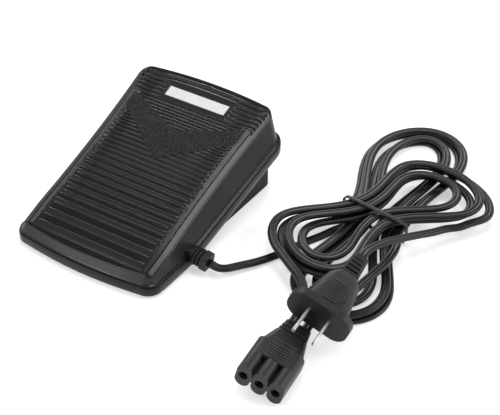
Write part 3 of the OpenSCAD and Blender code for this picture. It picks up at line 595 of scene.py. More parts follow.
class PEDAL_OT_cords(Operator):
    """Makes both cords, the connector, the plug with its blades and the tie"""

    bl_idname = "pedal.cords"
    bl_label = "Cords and ends"

    def execute(self, context):
        c = colours()
        # One moulded black painted three ways for light: the plug darker, the connector paler, and the grip ridges
        # paler still, as painted light that makes them read as lit lines.
        plug_painted_darker, connector_painted_paler, painted_light_tone = (
            moulded_plastic(name, tint(c.moulded, k), rough, 2600.0, 0.00012)
            for name, k, rough in (("plug black painted darker", 0.75, 0.46), ("connector black painted paler", 1.6, 0.42),
                                   ("grip ridges painted light", 3.2, 0.42)))
        connector = make_connector(connector_painted_paler, painted_light_tone)
        plug = make_plug(plug_painted_darker, painted_light_tone)
        blades = make_blades(plated_metal("nickel plate", c.nickel, 0.34))
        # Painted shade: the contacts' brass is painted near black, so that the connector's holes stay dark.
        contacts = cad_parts["connector_contacts"]
        paint(contacts, plated_metal("brass painted dark", (0.07, 0.05, 0.025), 0.5))
        make_cords(cord_sleeve("cord sleeve", c.cord))
        make_tie(plain_finish("tie band", (0.006, 0.006, 0.006), 0.4))
        return {"FINISHED"}


# ---- Connector, plug and tie ----


def ridges(places, radius, height):
    """Bars across a face, at places (y, half length, height of the face): each a half
    ellipse run along X that sinks into the face at its ends."""
    a = np.linspace(0.0, np.pi, 7)
    end, sunk = 0.35, 0.05
    swell = np.array([sunk, 1.0, 1.0, sunk])
    parts = []
    for y, half, face in places:
        x = np.array([-half, -half + end, half - end, half])
        rows = [np.broadcast_to(x[:, None], (4, 7)), np.broadcast_to(y + radius * np.cos(a), (4, 7)),
                face + height * np.sin(a) * swell[:, None]]
        parts.append((np.stack(rows, -1).reshape(-1, 3), grid_faces(4, 7)))
    return join_parts(parts)


def placed(piece, name, points, faces):
    """An object of points in the frame of the connector or the plug."""
    at, yaw, roll = piece
    return make_object(name, turned(at, yaw, roll, points), faces)


def make_connector(material, ridge_painted_light):
    """Connector: the CAD body with rounded edges, and grip ridges that follow its top,
    level and then down to the neck."""
    body = copy_of("connector", "connector_body", 0.45, 3, 30.0)
    back = np.linspace(21.5, 8.5, 8)
    face = np.where(back > 11.0, 6.98, 5.95 + 0.7 * back / 11.0)
    points, faces = ridges([(-b, 7.2, f) for b, f in zip(back, face)], 0.58, 0.8)
    grip = placed(CONNECTOR, "connector_grip", points, faces)
    dress(body, material, "base", "moulded_black", "connector")
    # The ridges take the black that is painted paler as painted light.
    dress(grip, ridge_painted_light, "base", "moulded_black")
    return body, grip


def make_plug(material, ridge_painted_light):
    """Plug: the CAD body with rounded edges, an oval patch of ridges on each face, and
    bars along the relief that make its windows."""
    body = copy_of("mains_plug", "plug_body", 0.7, 3, 30.0)
    y = np.linspace(-26.0, -10.0, 9)
    half = 7.4 * np.sqrt(np.clip(1 - ((y + 18.0) / 9.4) ** 2, 0, 1)) + 0.6
    face = 8.38 - 2.0 / 25.1 * (y + 29.1)
    points, faces = ridges(list(zip(y, half, face)), 0.6, 0.85)
    below = points * [1, 1, -1], [quad[::-1] for quad in faces]
    t = np.linspace(0, 1, 8)
    rod = super_ellipse(0.85, 0.75, 3.0, 12)
    bars = []
    for side in (-1, 1):
        for level in (-1, 1):
            run = np.stack([side * (5.0 - 1.3 * t), 2.6 + 17.6 * t, level * (3.0 - 0.95 * t)], 1)
            bars.append(tube(sweep(run, rod)))
    grip = placed(PLUG, "plug_grip", *join_parts([(points, faces), below]))
    join_into(body, placed(PLUG, "plug_bars", *join_parts(bars)))
    dress(body, material, "base", "moulded_black", "mains_plug")
    # The ridges take the black that is painted paler as painted light.
    dress(grip, ridge_painted_light, "base", "moulded_black")
    return body, grip


BLADE_HALF, BLADE_THICK = 3.17, 0.75  # half the width, half the thickness
BLADE_LENGTH, BLADE_FACE = 17.5, -34.0  # how far it stands out of the plug's face, and that face
BLADE_HOLE, BLADE_HOLE_AT = 1.6, 4.78  # radius of the hole, and its distance from the tip
BLADE_HEAD, BLADE_TIP = 8.4, 2.2  # length of the part with the hole, radius of the tip's corners


def blade_head(a, inset):
    """Points of the head's outline under the angles a at the hole's middle: where each
    ray leaves the head's rectangle, or on the arc of the corners at its tip."""
    far = 99.0
    h = BLADE_HALF - inset
    d = unit(a)
    reach = np.where(np.abs(d[:, 0]) > 1e-6, h / np.abs(d[:, 0]), far)
    reach = np.minimum(reach, np.where(d[:, 1] > 1e-6, (BLADE_HEAD - BLADE_HOLE_AT) / d[:, 1], far))
    reach = np.minimum(reach, np.where(d[:, 1] < -1e-6, (BLADE_HOLE_AT - inset) / -d[:, 1], far))
    p = d * reach[:, None] + [0, BLADE_HOLE_AT]
    middle = np.array([h - BLADE_TIP, inset + BLADE_TIP])
    q = np.abs(p * [1, 0]) + p * [0, 1] - middle
    cut = (q[:, 0] > 0) & (q[:, 1] < 0)
    q = q / np.maximum(np.linalg.norm(q, axis=1), 1e-6)[:, None] * BLADE_TIP + middle
    return np.where(cut[:, None], q * np.stack([np.sign(p[:, 0]), np.ones(len(a))], 1), p)


def blade_parts(x0):
    """One blade at x0: a head of rings from the hole's edge out to the outline and back
    over the other face, and a flat bar behind it."""
    n, thick, half = 48, BLADE_THICK, BLADE_HALF
    a = np.linspace(0, 2 * np.pi, n, endpoint=False)
    bore, rim = (r * unit(a) + [0, BLADE_HOLE_AT] for r in (BLADE_HOLE, BLADE_HOLE + 0.2))
    inner, outer = blade_head(a, 0.45), blade_head(a, 0.0)
    levels = [(bore, -thick + 0.2), (rim, -thick), (inner, -thick), (outer, -thick + 0.35), (outer, thick - 0.35),
              (inner, thick), (rim, thick), (bore, thick - 0.2), (bore, -thick + 0.2)]
    start = BLADE_FACE - BLADE_LENGTH
    head = np.concatenate([np.c_[np.full(n, x0 + z), p[:, 1] + start, p[:, 0]] for p, z in levels])
    edge = 0.35
    corner = np.array([[-thick, -half + edge], [-thick + edge, -half], [thick - edge, -half], [thick, -half + edge]])
    section = np.vstack([corner, -corner])
    bar = np.concatenate([np.insert(section + [x0, 0], 1, y + start, axis=1)
                          for y in (BLADE_HEAD - 0.1, BLADE_LENGTH + 5.5)])
    ends = [list(range(8)), list(range(15, 7, -1))]
    return [(head, grid_faces(len(levels), n, wrap=True, flip=True)),
            (bar, grid_faces(2, 8, wrap=True, flip=True) + ends)]


def make_blades(material):
    """The plug's two blades, 12.7 mm apart."""
    obj = placed(PLUG, "plug_blade_pair", *join_parts(blade_parts(-6.35) + blade_parts(6.35)))
    obj.data.set_sharp_from_angle(angle=np.radians(40.0))
    dress(obj, material, "base", "nickel", "plug_blades")
    return obj


def make_tie(material):
    """Band round the hanks: a rounded section carried round a rounded rectangle."""
    half_width, height, t, half_band, n = 22.8, 14.65, 0.6, 1.5, 120
    path = super_ellipse(half_width + t / 2, height / 2 + t / 2, 7.0, n)
    out = super_ellipse(1.0, 1.0, 2.0, n)
    flat = half_band - 0.2
    section = [(-half_band, 0.0), (-flat, t / 2), (flat, t / 2), (half_band, 0.0), (flat, -t / 2), (-flat, -t / 2),
               (-half_band, 0.0)]
    points = np.concatenate([np.insert(path + v * out, 1, u, axis=1) for u, v in section])
    obj = make_object("hank_tie", turned([*TIE_AT, height / 2 + t], -7.0, 0.0, points),
                      grid_faces(len(section), n, wrap=True, flip=True))
    dress(obj, material, "base", "tie_black", "cord_tie")


# ---- Pedal shape ----

KNEE, RIM_FOOT, RIM_HEIGHT = -30.0, 1.6, 6.0  # where the rim turns up, its underside before that, its height
TREAD_START = 3.0  # from the rim's heel to the tread's foot
LAST_RIBS = 26.0  # ribs this near the toe run over the whole width
TOE_LAND = 12.5  # up to here from the toe the tread keeps its side lines
HEEL_FOLD, SIDE_FOLD, LEAN = 8.0, 8.85, -2.2  # insets of the tread's edge, and its shift to the heel
LABEL_WIDE, LABEL_DEEP, LABEL_BACK = 22.0, 3.7, 17.0  # half sizes of the label, and its way from the toe
LABEL_LAND, LABEL_SUNK = (2.6, 3.2), 0.68  # bare land at its ends and sides, and the depth of its recess
FIELD_HALF = 40.2  # half the width of the field of ribs
STRIP, STRIP_DROP = 3.4, 0.55  # width of the strip beside the field, and its fall
FIRST_RIB, FIRST_RISE = 7.0, 0.45  # where the first rib starts up the slope, and the way its face rises over
CHEVRON_EDGES, CHEVRON_HALF = ((67, 0.714), (43, 0.415)), 41.5  # way from the toe and slope of both; half width


def rim_half(y):
    """Half the width over the rim, linear from heel to toe."""
    s = sizes()
    return (s.heel_width + (s.toe_width - s.heel_width) * (y + s.length / 2) / s.length) / 2


def seam_height(y):
    """Height of the cover's seam: level, then up the rim's slope."""
    return RIM_FOOT + np.maximum(0.0, y - KNEE) * np.tan(sizes().rim_slope) + RIM_HEIGHT


def tread_foot():
    """Where the tread's slope starts, at the heel."""
    return -sizes().length / 2 + TREAD_START


def tread_height(y):
    """Height of the tread's plane."""
    s = sizes()
    return s.heel_height + (y + s.length / 2 - TREAD_START) * np.tan(s.tread_slope)


ARC_N, TOE_N, HEEL_N, SIDE_N = 14, 24, 30, 150
RISE = np.linspace(0, 1, ARC_N)
EASE = RISE * RISE * (3 - 2 * RISE)
TOENESS = np.concatenate([EASE, np.ones(TOE_N), EASE[::-1], np.zeros(2 * SIDE_N + 2 * ARC_N + HEEL_N)])
HEELNESS = np.concatenate([np.zeros(2 * ARC_N + TOE_N + SIDE_N), EASE, np.ones(HEEL_N), EASE[::-1],
                           np.zeros(SIDE_N)])


def arc(cx, cy, r, start):
    """A quarter circle of points from a start angle on."""
    return [cx, cy] + r * unit(np.radians(np.linspace(start, start + 90, ARC_N)))


def outline(inset, shift=0.0):
    """The rim's plan drawn in by an inset, in one order of points: corner arcs, straight
    toe and sides, and a heel bowed with the square of x."""
    s = sizes()
    rt, rh = max(s.corner - inset, 1.4), max(s.heel_corner - inset, 1.4)
    yt, yh = s.length / 2 - inset - rt, -s.length / 2 + s.heel_bow + inset + rh
    xt, xh = rim_half(yt) - inset - rt, rim_half(yh) - inset - rh
    t = np.linspace(0, 1, TOE_N + 2)[1:-1, None]
    toe = np.array([xt, yt + rt]) * (1 - t) + np.array([-xt, yt + rt]) * t
    v = np.linspace(0, 1, SIDE_N + 2)[1:-1, None] ** 1.5
    left = np.array([-xt - rt, yt]) * (1 - v) + np.array([-xh - rh, yh]) * v
    u = np.linspace(-1, 1, HEEL_N + 2)[1:-1]
    heel = np.stack([xh * u, -s.length / 2 + inset + s.heel_bow * u * u], 1)
    points = np.vstack([arc(xt, yt, rt, 0), toe, arc(-xt, yt, rt, 90), left, arc(-xh, yh, rh, 180), heel,
                        arc(xh, yh, rh, 270), (left * [-1, 1])[::-1]])
    return points + [0.0, shift]


def blended(side_inset, heel_inset, shift=0.0):
    """An outline with its own inset at the heel, eased on the arcs."""
    side = outline(side_inset, shift)
    return side + (outline(heel_inset, shift) - side) * HEELNESS[:, None]


def bowed(points):
    """Bows the toe edge out: its last 8 mm are drawn up the slope, less with the square
    of the distance across."""
    s = sizes()
    p = np.array(points, float)
    near = np.clip((p[..., 1] - (s.length / 2 - SIDE_FOLD + LEAN - 8.0)) / 8.0, 0, 1) ** 1.5
    push = s.toe_bow * (1 - (p[..., 0] / 50.0) ** 2) * near
    p[..., 1] += push
    p[..., 2] += push * np.tan(s.tread_slope)
    return p


def top_ring(side_inset, heel_inset):
    """A blended outline near the tread's edge, its sides drawn in by a further 1.5 mm
    at y = 12, less with the square of the way off."""
    p = blended(side_inset, heel_inset, LEAN)
    waist = np.maximum(1.5 - 2.1 * ((p[:, 1] - 12.0) / 60.0) ** 2, -0.6)
    return p * np.c_[1.0 - waist / rim_half(p[:, 1]), np.ones(len(p))]


def rib_lines():
    """Heel edges of the ribs, in groups of even pitch."""
    groups = ((1, 2), (0.745, 1), (0.622, 3), (0.49, 4), (0.362, 5), (0.33, 2), (0.25, 4), (0.24, 7), (0.34, 7))
    pitches = np.concatenate([np.full(n, share) for share, n in groups]) * sizes().rib_pitch
    return FIRST_RIB + np.concatenate([[0.0], np.cumsum(pitches)])


def fillet(pitch):
    """Size of the rounding beside a groove."""
    return np.minimum(0.34, 0.09 * pitch)


def groove_profile(s, lines):
    """Depth of the grooves at s up the slope: flat floors, a soft fall behind each
    rib's top and a steep, slightly rounded rise to the next rib."""
    st = sizes()
    i = interval(lines, s)
    p = lines[i + 1] - lines[i]
    r = (s - lines[i]) / p
    top = 1 - st.groove_share
    e = fillet(p) / p
    knots = ((0 * e, 0.22), (0.5 * e, 0.06), (e, 0.0), (top - 0.5 * e, 0.0), (top, 0.12), (top + 0.8 * e, 0.9),
             (top + 1.6 * e, 1.0), (1 - 1.5 * e, 1.0), (1 - 0.9 * e, 0.85), (1 - 0.3 * e, 0.4), (1 + 0 * e, 0.22))
    f = np.zeros_like(r)
    for (a, fa), (b, fb) in zip(knots[:-1], knots[1:]):
        t = np.clip((r - a) / np.maximum(b - a, 1e-9), 0, 1)
        f = np.where((r >= a) & (r <= b), fa + (fb - fa) * t, f)
    f = np.where((s < lines[0]) | (s > lines[-1]), 0.0, f)
    return f * np.minimum(st.groove_depth, 0.36 * p)


# Rows of the cover's section from the seam up: side inset, heel inset, then the height at
# the side and at the heel, over the seam for LIP and over the tread's plane for EDGE,
# which has the toe's height as well.
LIP = ((2.9, 2.9, 0.05, 0.05), (1.3, 1.2, 0.15, 0.15), (0.66, 0.9, 0.36, 0.34), (0.5, 0.85, 0.6, 0.5),
       (0.64, 0.92, 0.88, 0.68), (1.0, 1.05, 1.0, 0.85), (1.75, 1.2, 1.04, 1.04), (2.15, 1.4, 1.12, 1.25),
       (2.3, 1.7, 1.35, 1.55))
EDGE = ((4.95, 7.0, -2.75, -0.95, -2.75), (5.6, 7.08, -2.6, -0.86, -2.5), (5.7, 7.14, -2.1, -0.78, -2.2),
        (5.15, 7.2, -1.88, -0.7, -1.9), (5.18, 7.28, -1.68, -0.62, -1.5), (5.35, 7.36, -1.54, -0.56, -1.1),
        (6.3, 7.46, -1.19, -0.52, -0.36), (7.3, 7.56, -0.81, -0.5, -0.18), (8.1, 7.64, -0.5, -0.52, -0.12),
        (8.3, 7.72, -0.46, -0.62, -0.12), (8.42, 7.8, -0.62, -0.8, -0.12), (8.55, 7.88, -1.0, -1.1, -0.12),
        (SIDE_FOLD - 0.05, 7.95, -1.12, -1.15, -0.12), (SIDE_FOLD + 0.3, 8.2, -1.15, -1.18, -0.12))
# Rows of the rim's section: inset, and height over the rim's underside.
RIM = ((2.3, 0.2), (0.6, -0.02), (0.15, 0.15), (-0.05, 0.6), (-0.05, 5.0), (0.08, 5.45), (0.38, 5.78),
       (0.85, 5.95), (2.3, 6.02), (2.3, 0.2))
WALL_ROWS = 12


def edge_ring(row):
    """One ring of the bevel, let down where a groove near the toe runs out over it."""
    side_in, heel_in, side_z, heel_z, toe_z = row
    s = sizes()
    p = top_ring(side_in, heel_in)
    drop = side_z + (heel_z - side_z) * HEELNESS + (toe_z - side_z) * TOENESS
    up = (p[:, 1] + s.length / 2 - TREAD_START) / np.cos(s.tread_slope)
    cut = np.where(up > s.length - LAST_RIBS, groove_profile(up, rib_lines()), 0.0)
    cut = cut * np.clip((side_in - 5.2) / 0.5, 0, 1)
    open_toe = np.clip((up - (s.length - TOE_LAND)) / 1.5, 0, 1) * (side_in > 8.2)
    drop = drop * (1 - open_toe) - 0.12 * open_toe
    return bowed(np.c_[p, tread_height(p[:, 1]) + np.minimum(drop, -0.12 * (cut > 0) - cut * 0.95)])


def cover_wall():
    """Lip, straight wall, fold line and bevel of the cover, and 1 on the wall, else 0."""
    rings = []
    for side_in, heel_in, side_z, heel_z in LIP:
        p = blended(side_in, heel_in)
        rings.append(np.c_[p, seam_height(p[:, 1]) + side_z + (heel_z - side_z) * HEELNESS])
    edge = [edge_ring(row) for row in EDGE]
    t = np.linspace(0, 1, WALL_ROWS + 2)[1:-1, None, None]
    rings = np.concatenate([np.stack(rings), rings[-1] * (1 - t) + edge[0] * t, np.stack(edge)])
    wall = np.concatenate([np.zeros(len(LIP) - 1), np.ones(WALL_ROWS + 2), np.zeros(len(EDGE) - 1)])
    rows, cols = rings.shape[:2]
    return rings.reshape(-1, 3), grid_faces(rows, cols, wrap=True), np.repeat(wall, cols)


def rim_band():
    """Closed band round the lower shell's rim, with rounded edges."""
    plans = [outline(inset) for inset, _ in RIM]
    rings = [np.c_[p, seam_height(p[:, 1]) - RIM_HEIGHT + rise] for p, (_, rise) in zip(plans, RIM)]
    return np.concatenate(rings), grid_faces(len(RIM), len(rings[0]), wrap=True)


def chevron(x, s):
    """1 inside the chevron that stands between the ribs, 0 outside, soft at its rim."""
    low, high = (sizes().length - back + slant * np.abs(x) for back, slant in CHEVRON_EDGES)
    inside = np.minimum(np.minimum(s - low, high - s), CHEVRON_HALF - np.abs(x))
    return np.clip(inside / 0.5 + 0.5, 0, 1)


def tread_rows(lines, last):
    """Where the tread's rows lie up the slope: at every bend of the grooves' profile and
    at the label's edges, and then evenly up to the last."""
    rel = []
    for a, b in zip(lines[:-1], lines[1:]):
        e, top = fillet(b - a), (b - a) * (1 - sizes().groove_share)
        rel += [a, a + 0.5 * e, a + e, a + top / 2, a + top - 0.5 * e, a + top, a + top + 0.8 * e,
                a + top + 1.6 * e, b - 1.5 * e, b - 0.9 * e, b - 0.3 * e]
    label = sizes().length - LABEL_BACK
    label_edges = [label + side * off for side in (-1, 1) for off in (3.95, 3.75)]
    rows = np.sort([lines[0] - 0.3, lines[0] - 0.1, *rel, lines[-1], lines[-1] + 0.3, *label_edges])
    return np.concatenate([rows, np.linspace(rows[-1], last, 9)[1:]])


def tread_plan(lines):
    """Plan points of the tread. Columns keep their distance from the side edge; the
    first rows run from the heel's bow to the straight first rib."""
    s = sizes()
    y0, c = tread_foot(), np.cos(s.tread_slope)
    ring = top_ring(SIDE_FOLD, HEEL_FOLD)
    half = ring[ring[:, 0] > 0]
    half = half[np.argsort(half[:, 1])]
    reach = HEEL_FOLD + 1.4
    x_heel = rim_half(-s.length / 2 + s.heel_bow + reach) - reach
    heel_middle = -s.length / 2 + HEEL_FOLD + LEAN
    heel_side = heel_middle + s.heel_bow
    first = y0 + (lines[0] - FIRST_RISE) * c
    v = np.array([0.0, 0.06, 0.12, 0.2, 0.35, 0.5, 0.65, 0.8, 0.92])[:, None]
    rows = y0 + tread_rows(lines, (half[-1, 1] - y0) / c)[:, None] * c
    sides = np.concatenate([heel_side + (first - heel_side) * v, rows])
    from_edge = np.array([0, 0.12, 0.3, 0.5, 0.62, 0.72, 0.85, 1.2, 2, 2.8, 3.1, 3.25, 3.4, 3.6, 3.75, 3.9, 4.1, 4.4,
                          4.8, 5.3, 6, 7, 8, 9, 10, 11, 12, 13, 14])
    edge = np.interp(sides, half[:, 1], half[:, 0])
    inner = (edge - from_edge[-1]) * np.linspace(-1, 1, 145)[1:-1]
    x = np.hstack([-(edge - from_edge), inner, (edge - from_edge)[:, ::-1]])
    bow = heel_middle + s.heel_bow * np.clip(np.abs(x[:len(v)]) / x_heel, 0, 1) ** 2
    return x, np.vstack([bow + (first - bow) * v, np.broadcast_to(rows, (len(rows), x.shape[1]))])


def tread_grid():
    """The tread: points of the plan lowered along its normal by the groove profile, which fades out on ramps, in the
    chevron and round the label. The last two arrays are the stipple and the painted light and shade, darker in the
    grooves and near the side edge."""
    s = sizes()
    lines = rib_lines()
    x, y = tread_plan(lines)
    c, sn = np.cos(s.tread_slope), np.sin(s.tread_slope)
    up = (y - tread_foot()) / c
    across = np.abs(x)
    edge = across.max(axis=1, keepdims=True) - across
    ribbed = up > lines[0]

    i = interval(lines, up)
    field = FIELD_HALF - (i % 2) * 0.7
    fade = np.clip((field - across) / np.clip(s.ramp - 0.1 * up, 2.6, 11.0), 0, 1)
    fade = np.where(across < field, 0.1 + 0.9 * fade, 0.0)
    fade = np.where(lines[i] > s.length - LAST_RIBS, 1.0, fade)
    soft = chevron(x, up)
    label_x, label_y = across - LABEL_WIDE, np.abs(up - (s.length - LABEL_BACK)) - LABEL_DEEP
    surround = np.clip(1 - np.maximum(label_x - LABEL_LAND[0], label_y - LABEL_LAND[1]) / 0.5, 0, 1)
    height = -groove_profile(up, lines) * fade * (1 - soft) * (1 - surround)

    # Strips beside the field fall outwards to a fold at the edge, with a line along both sides.
    strip = STRIP_DROP * np.clip((STRIP - edge) / STRIP, 0, 1)
    toe = np.clip((up - (s.length - TOE_LAND)) / 1.5, 0, 1)
    outer_line = STRIP_DROP * np.interp(edge, [0, 0.12, 0.3], [1.0, 1.0, 0.0]) * (1 - toe)
    inner_line = np.interp(edge, [3.1, 3.25, 3.6, 3.75], [0, 1.0, 1.0, 0])
    inner_line = inner_line * np.interp(up, [lines[0], 20.0, 60.0, 70.0], [0.7, 0.5, 0.12, 0.0])
    height = height - (strip + outer_line + inner_line) * ribbed

    # A sunk crescent behind the heel's lip, and the recess of the label.
    rise = np.clip((up - (lines[0] - FIRST_RISE)) / FIRST_RISE, 0, 1)
    height = np.where(up < lines[0] + 0.001, -1.0 + 0.85 * rise, height)
    recess = np.clip(0.5 - np.maximum(label_x - 0.25, label_y - 0.15) / 0.2, 0, 1)
    height = np.where(recess > 0, np.minimum(height, -LABEL_SUNK * recess), height)

    # Painted shade: darker down in the grooves and within a few millimetres of the side edge, paler on the rib tops.
    worn = np.clip(1 + height / 0.45, 0, 1) * np.interp(edge, [3.2, 3.8], [0.25, 0.75])
    points = np.stack([x, y - height * sn, s.heel_height + up * sn + height * c], -1)
    return bowed(points.reshape(-1, 3)), grid_faces(*x.shape), soft.ravel(), worn.ravel()


def cover_inside():
    """Inner skin of the cover, 2.4 mm in from its wall and 2.7 mm under the tread."""
    foot = [outline(inset) for inset in (2.9, 4.4)]
    roof = [(outline(inset, LEAN), drop) for inset, drop in ((6.9, -4.3), (8.9, -2.7))]
    rings = [np.c_[p, seam_height(p[:, 1]) + 0.05] for p in foot]
    rings += [np.c_[p, tread_height(p[:, 1]) + drop] for p, drop in roof]
    rows, cols = len(rings), len(rings[0])
    ceiling = list(range((rows - 1) * cols, rows * cols))[::-1]
    return np.concatenate(rings), grid_faces(rows, cols, wrap=True, flip=True) + [ceiling]


class PEDAL_OT_cover(Operator):
    """Makes the ribbed top cover and dresses its bare label"""

    bl_idname = "pedal.cover"
    bl_label = "Cover"

    def execute(self, context):
        wall_points, wall_faces, wall = cover_wall()
        grid_points, grid_quads, soft, painted_light_tone = tread_grid()
        in_points, in_faces = cover_inside()
        parts = [(wall_points, wall_faces), (grid_points, grid_quads), (in_points, in_faces)]
        outside, grid, inside = (np.zeros(len(points)) for points, _ in parts)
        # The wall's rows carry the painted light, and the tread's rows the painted shade of its grooves.
        marks = {"stipple": [outside, soft, inside], "wall": [wall, grid, inside],
                 "worn": [0.25 + 0.75 * wall, painted_light_tone, inside]}
        marks = {key: np.concatenate(values) for key, values in marks.items()}
        obj = make_object("ribbed_cover", *join_parts(parts), marks)
        even_shading(obj)
        dress(obj, cover_plastic("cover plastic", colours().shell, 0.2), "pedal", "black_shell", "top_cover")
        paint(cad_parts["name_plate"], plain_finish("bare label", colours().label, 0.4, 200.0, 0.04))
        return {"FINISHED"}


def relief_rings():
    """Rings of the strain relief: rounded squares along the drooping way out of the
    cord, each a little smaller than the last."""
    rows = ((-0.6, 0.8), (-0.6, 0.93), (-0.4, 1.0), (0.4, 1.0), (0.6, 0.93), (0.6, 0.8))
    parts = []
    for k in range(4):
        half = 4.5 + 0.35 * k
        middle = RELIEF_TIP - RELIEF_OUT * (2.6 + 2.2 * k)
        path = np.array([middle + RELIEF_OUT * along for along, _ in rows])
        parts.append(tube(sweep(path, [super_ellipse(half * g, half * 0.92 * g, 3.2, 32) for _, g in rows])))
    return join_parts(parts)


class PEDAL_OT_shells(Operator):
    """Rounds the edges of the lower shell, the base and the strain relief"""

    bl_idname = "pedal.shells"
    bl_label = "Shells"

    def execute(self, context):
        c = colours()
        lower = copy_of("lower_shell", "lower_shell_rounded", 0.7, 3)
        join_into(lower, make_object("rim_band", *rim_band()))
        shell = moulded_plastic("shell plastic", c.shell, 0.26, 2300.0, 0.00008, 0.26)
        dress(lower, shell, "pedal", "shell_grey", "lower_shell")
        base = moulded_plastic("base plastic", c.base, 0.6, 2300.0, 0.00008, 0.16)
        dress(copy_of("base_plate", "base_rounded", 0.5, 2), base, "base", "shell_grey", "base_plate")
        relief = copy_of("strain_relief", "relief_rounded", 0.35, 2)
        join_into(relief, make_object("relief_rings", *relief_rings()))
        rubber = moulded_plastic("relief rubber", tint(c.cord, 0.7), 0.5, 1800.0, 0.0001)
        dress(relief, rubber, "pedal", "cord_black", "strain_relief")
        return {"FINISHED"}


# ---- Works inside ----

STEEL_NODES = ("cover_screws", "hinge_pins", "travel_screw", "lever_axle", "lever_spring", "board_screws",
               "clamp_screws")


class PEDAL_OT_works(Operator):
    """Gives the works their finishes"""

    bl_idname = "pedal.works"
    bl_label = "Works inside"

    def execute(self, context):
        steel = plated_metal("plated steel", (0.62, 0.63, 0.65), 0.32)
        finishes = {
            **dict.fromkeys(STEEL_NODES, steel),
            "rubber_feet": moulded_plastic("foot rubber", (0.02, 0.02, 0.02), 0.75, 1500.0, 0.00015),
            "speed_lever": plain_finish("ivory nylon", (0.80, 0.76, 0.62), 0.42),
            "wiper_contact": plated_metal("contact brass", (0.75, 0.55, 0.25), 0.28),
            "speed_track": plain_finish("track board", (0.20, 0.10, 0.04), 0.45, 500.0),
            "circuit_board": plain_finish("board lacquer", (0.02, 0.14, 0.05), 0.3, 400.0, 0.2),
            "triac": plain_finish("package resin", (0.03, 0.03, 0.03), 0.6, 900.0, 0.3),
            "heat_sink": plated_metal("extruded aluminium", (0.68, 0.69, 0.71), 0.38, 1500.0),
            "film_capacitor": plain_finish("film yellow", (0.62, 0.40, 0.05), 0.25),
            "power_resistor": plain_finish("ceramic white", (0.82, 0.80, 0.75), 0.6, 700.0, 0.3),
            "terminal_block": plain_finish("terminal cream", (0.72, 0.70, 0.62), 0.4),
            "lead_wires": plain_finish("wire sleeve", (0.10, 0.05, 0.03), 0.4),
            "cord_clamp": moulded_plastic("clamp plastic", (0.02, 0.02, 0.02), 0.4, 2000.0, 0.0001),
        }
        for node, material in finishes.items():
            paint(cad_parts[node], material)
        springs = copy_of("return_springs", "return_spring_pair", 0)
        dress(springs, steel, "base", "steel", "return_springs")
        co = np.empty(3 * len(springs.data.vertices))
        springs.data.vertices.foreach_get("co", co)
        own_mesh(springs)
        return {"FINISHED"}


# ---- Stage ----

FLOOR_HALF = 4000.0
LIGHT_DISTANCE, LIT_PLACE = 1.3, np.array([0.04, 0.0, 0.02])  # in metres
# Lamps: name, direction they stand in, width and height in metres, watts.
LAMPS = (("left", (-0.79, 0.2, 0.58), (0.7, 0.16), 0.8), ("top", (0.04, 0.17, 0.985), (0.66, 0.4), 4.2),
         ("back", (-0.43, 0.74, 0.52), (0.5, 0.3), 3.0), ("right", (0.735, 0.412, 0.543), (0.7, 0.4), 5.0),
         ("front", (-0.43, -0.64, 0.6), (0.3, 0.3), 2.8))


def area_light(name, place, target, size, power):
    """A rectangular lamp at a place that faces a target."""
    data = adjust(bpy.data.lights.new(name, "AREA"), shape="RECTANGLE", size=size[0], size_y=size[1], energy=power)
    z = (place - target) / np.linalg.norm(place - target)
    x = np.cross([0, 0, 1.0], z)
    x /= np.linalg.norm(x)
    link(bpy.data.objects.new(name, data)).matrix_world = axes_matrix(x, np.cross(z, x), z, place)


def ray_mask(tree, *kinds):
    """1 for rays of any of the given kinds, 0 for the rest."""
    path = add_node(tree, "ShaderNodeLightPath")
    mask, *others = (Value(tree, path.outputs[f"Is {kind} Ray"]) for kind in kinds)
    for other in others:
        mask = mask.math("MAXIMUM", other)
    return mask


def floor_finish():
    """Matt pale floor with a white glow that only camera and mirror rays see."""
    f = Finish("floor")
    f.set(roughness=0.9, specular_ior_level=0.1, base_color=(0.9, 0.9, 0.9, 1.0))
    plain = f.shader.outputs[0]
    glow = add_node(f.tree, "ShaderNodeEmission", {"Strength": 0.5})
    lit = add_node(f.tree, "ShaderNodeAddShader", {0: plain, 1: glow.outputs[0]})
    mask = ray_mask(f.tree, "Camera", "Glossy", "Transmission")
    mix = add_node(f.tree, "ShaderNodeMixShader", {0: mask, 1: plain, 2: lit.outputs[0]})
    f.tree.links.new(mix.outputs[0], f.tree.nodes["Material Output"].inputs["Surface"])
    return f.material


def studio_world():
    """White surroundings: full for the camera, dim as light, and for mirror rays full
    only near the floor, so that glossy faces get a gradient."""
    world = bpy.data.worlds.new("studio")
    world.use_nodes = True
    tree = world.node_tree
    toward = add_node(tree, "ShaderNodeTexCoord").outputs["Generated"]
    height = add_node(tree, "ShaderNodeSeparateXYZ", {0: toward}).outputs["Z"]
    low = (2.4 - Value(tree, height) * 4.0).clamped(0.0, 1.0)
    mirrored = ray_mask(tree, "Glossy", "Transmission")
    strength = ray_mask(tree, "Camera") * 0.65 + mirrored * low * 0.65 + 0.35
    back = tree.nodes["Background"]
    tree.links.new(strength.socket, back.inputs["Strength"])
    back.inputs["Color"].default_value = (1, 1, 1, 1)
    return world


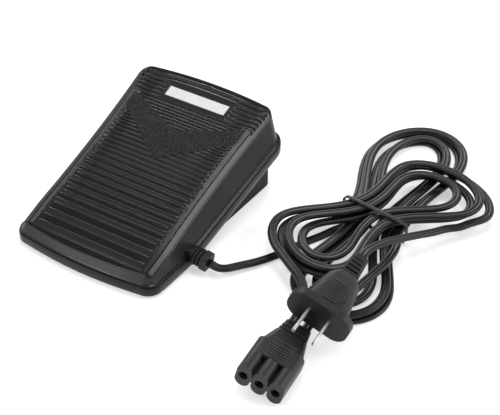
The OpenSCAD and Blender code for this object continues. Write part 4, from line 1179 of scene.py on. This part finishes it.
class PEDAL_OT_stage(Operator):
    """Lays the pale floor and sets the soft studio light"""

    bl_idname = "pedal.stage"
    bl_label = "Stage"

    def execute(self, context):
        r = FLOOR_HALF
        floor = make_object("floor", [(-r, -r, 0), (r, -r, 0), (r, r, 0), (-r, r, 0)], [[0, 1, 2, 3]])
        floor.data.materials.append(floor_finish())
        context.scene.world = studio_world()
        for name, direction, size, power in LAMPS:
            area_light(name, LIT_PLACE + LIGHT_DISTANCE * np.array(direction), LIT_PLACE, size, power)
        context.scene.view_settings.view_transform = "Standard"
        return {"FINISHED"}


# ---- Panel and registration ----


class PEDAL_PT_panel(Panel):
    """Lists the pedal's settings and the steps that build it"""

    bl_idname = "PEDAL_PT_panel"
    bl_label = "Sewing machine pedal"
    bl_space_type = "VIEW_3D"
    bl_region_type = "UI"
    bl_category = "Pedal"

    def draw(self, context):
        """Draws every setting and one button per step."""
        layout = self.layout
        for group in (sizes(), cords(), colours()):
            box = layout.box()
            for key in group.__annotations__:
                box.prop(group, key)
        for operator in OPERATORS:
            layout.operator(operator.bl_idname)


OPERATORS = (PEDAL_OT_camera, PEDAL_OT_cords, PEDAL_OT_cover, PEDAL_OT_shells, PEDAL_OT_works, PEDAL_OT_stage)
GROUPS = {"pedal_sizes": PedalSizes, "pedal_cords": CordSizes, "pedal_colours": PedalColours}
CLASSES = (*GROUPS.values(), *OPERATORS, PEDAL_PT_panel)


def register():
    """Registers the classes and hangs the settings on the scene."""
    for cls in CLASSES:
        bpy.utils.register_class(cls)
    for key, group in GROUPS.items():
        setattr(bpy.types.Scene, key, PointerProperty(type=group))


def unregister():
    """Takes back what register did."""
    for key in GROUPS:
        delattr(bpy.types.Scene, key)
    for cls in reversed(CLASSES):
        bpy.utils.unregister_class(cls)


def main():
    """Runs every step."""
    register()
    bpy.ops.pedal.camera()
    bpy.ops.pedal.cords()
    bpy.ops.pedal.cover()
    bpy.ops.pedal.shells()
    bpy.ops.pedal.works()
    bpy.ops.pedal.stage()


if __name__ == "__main__":
    main()
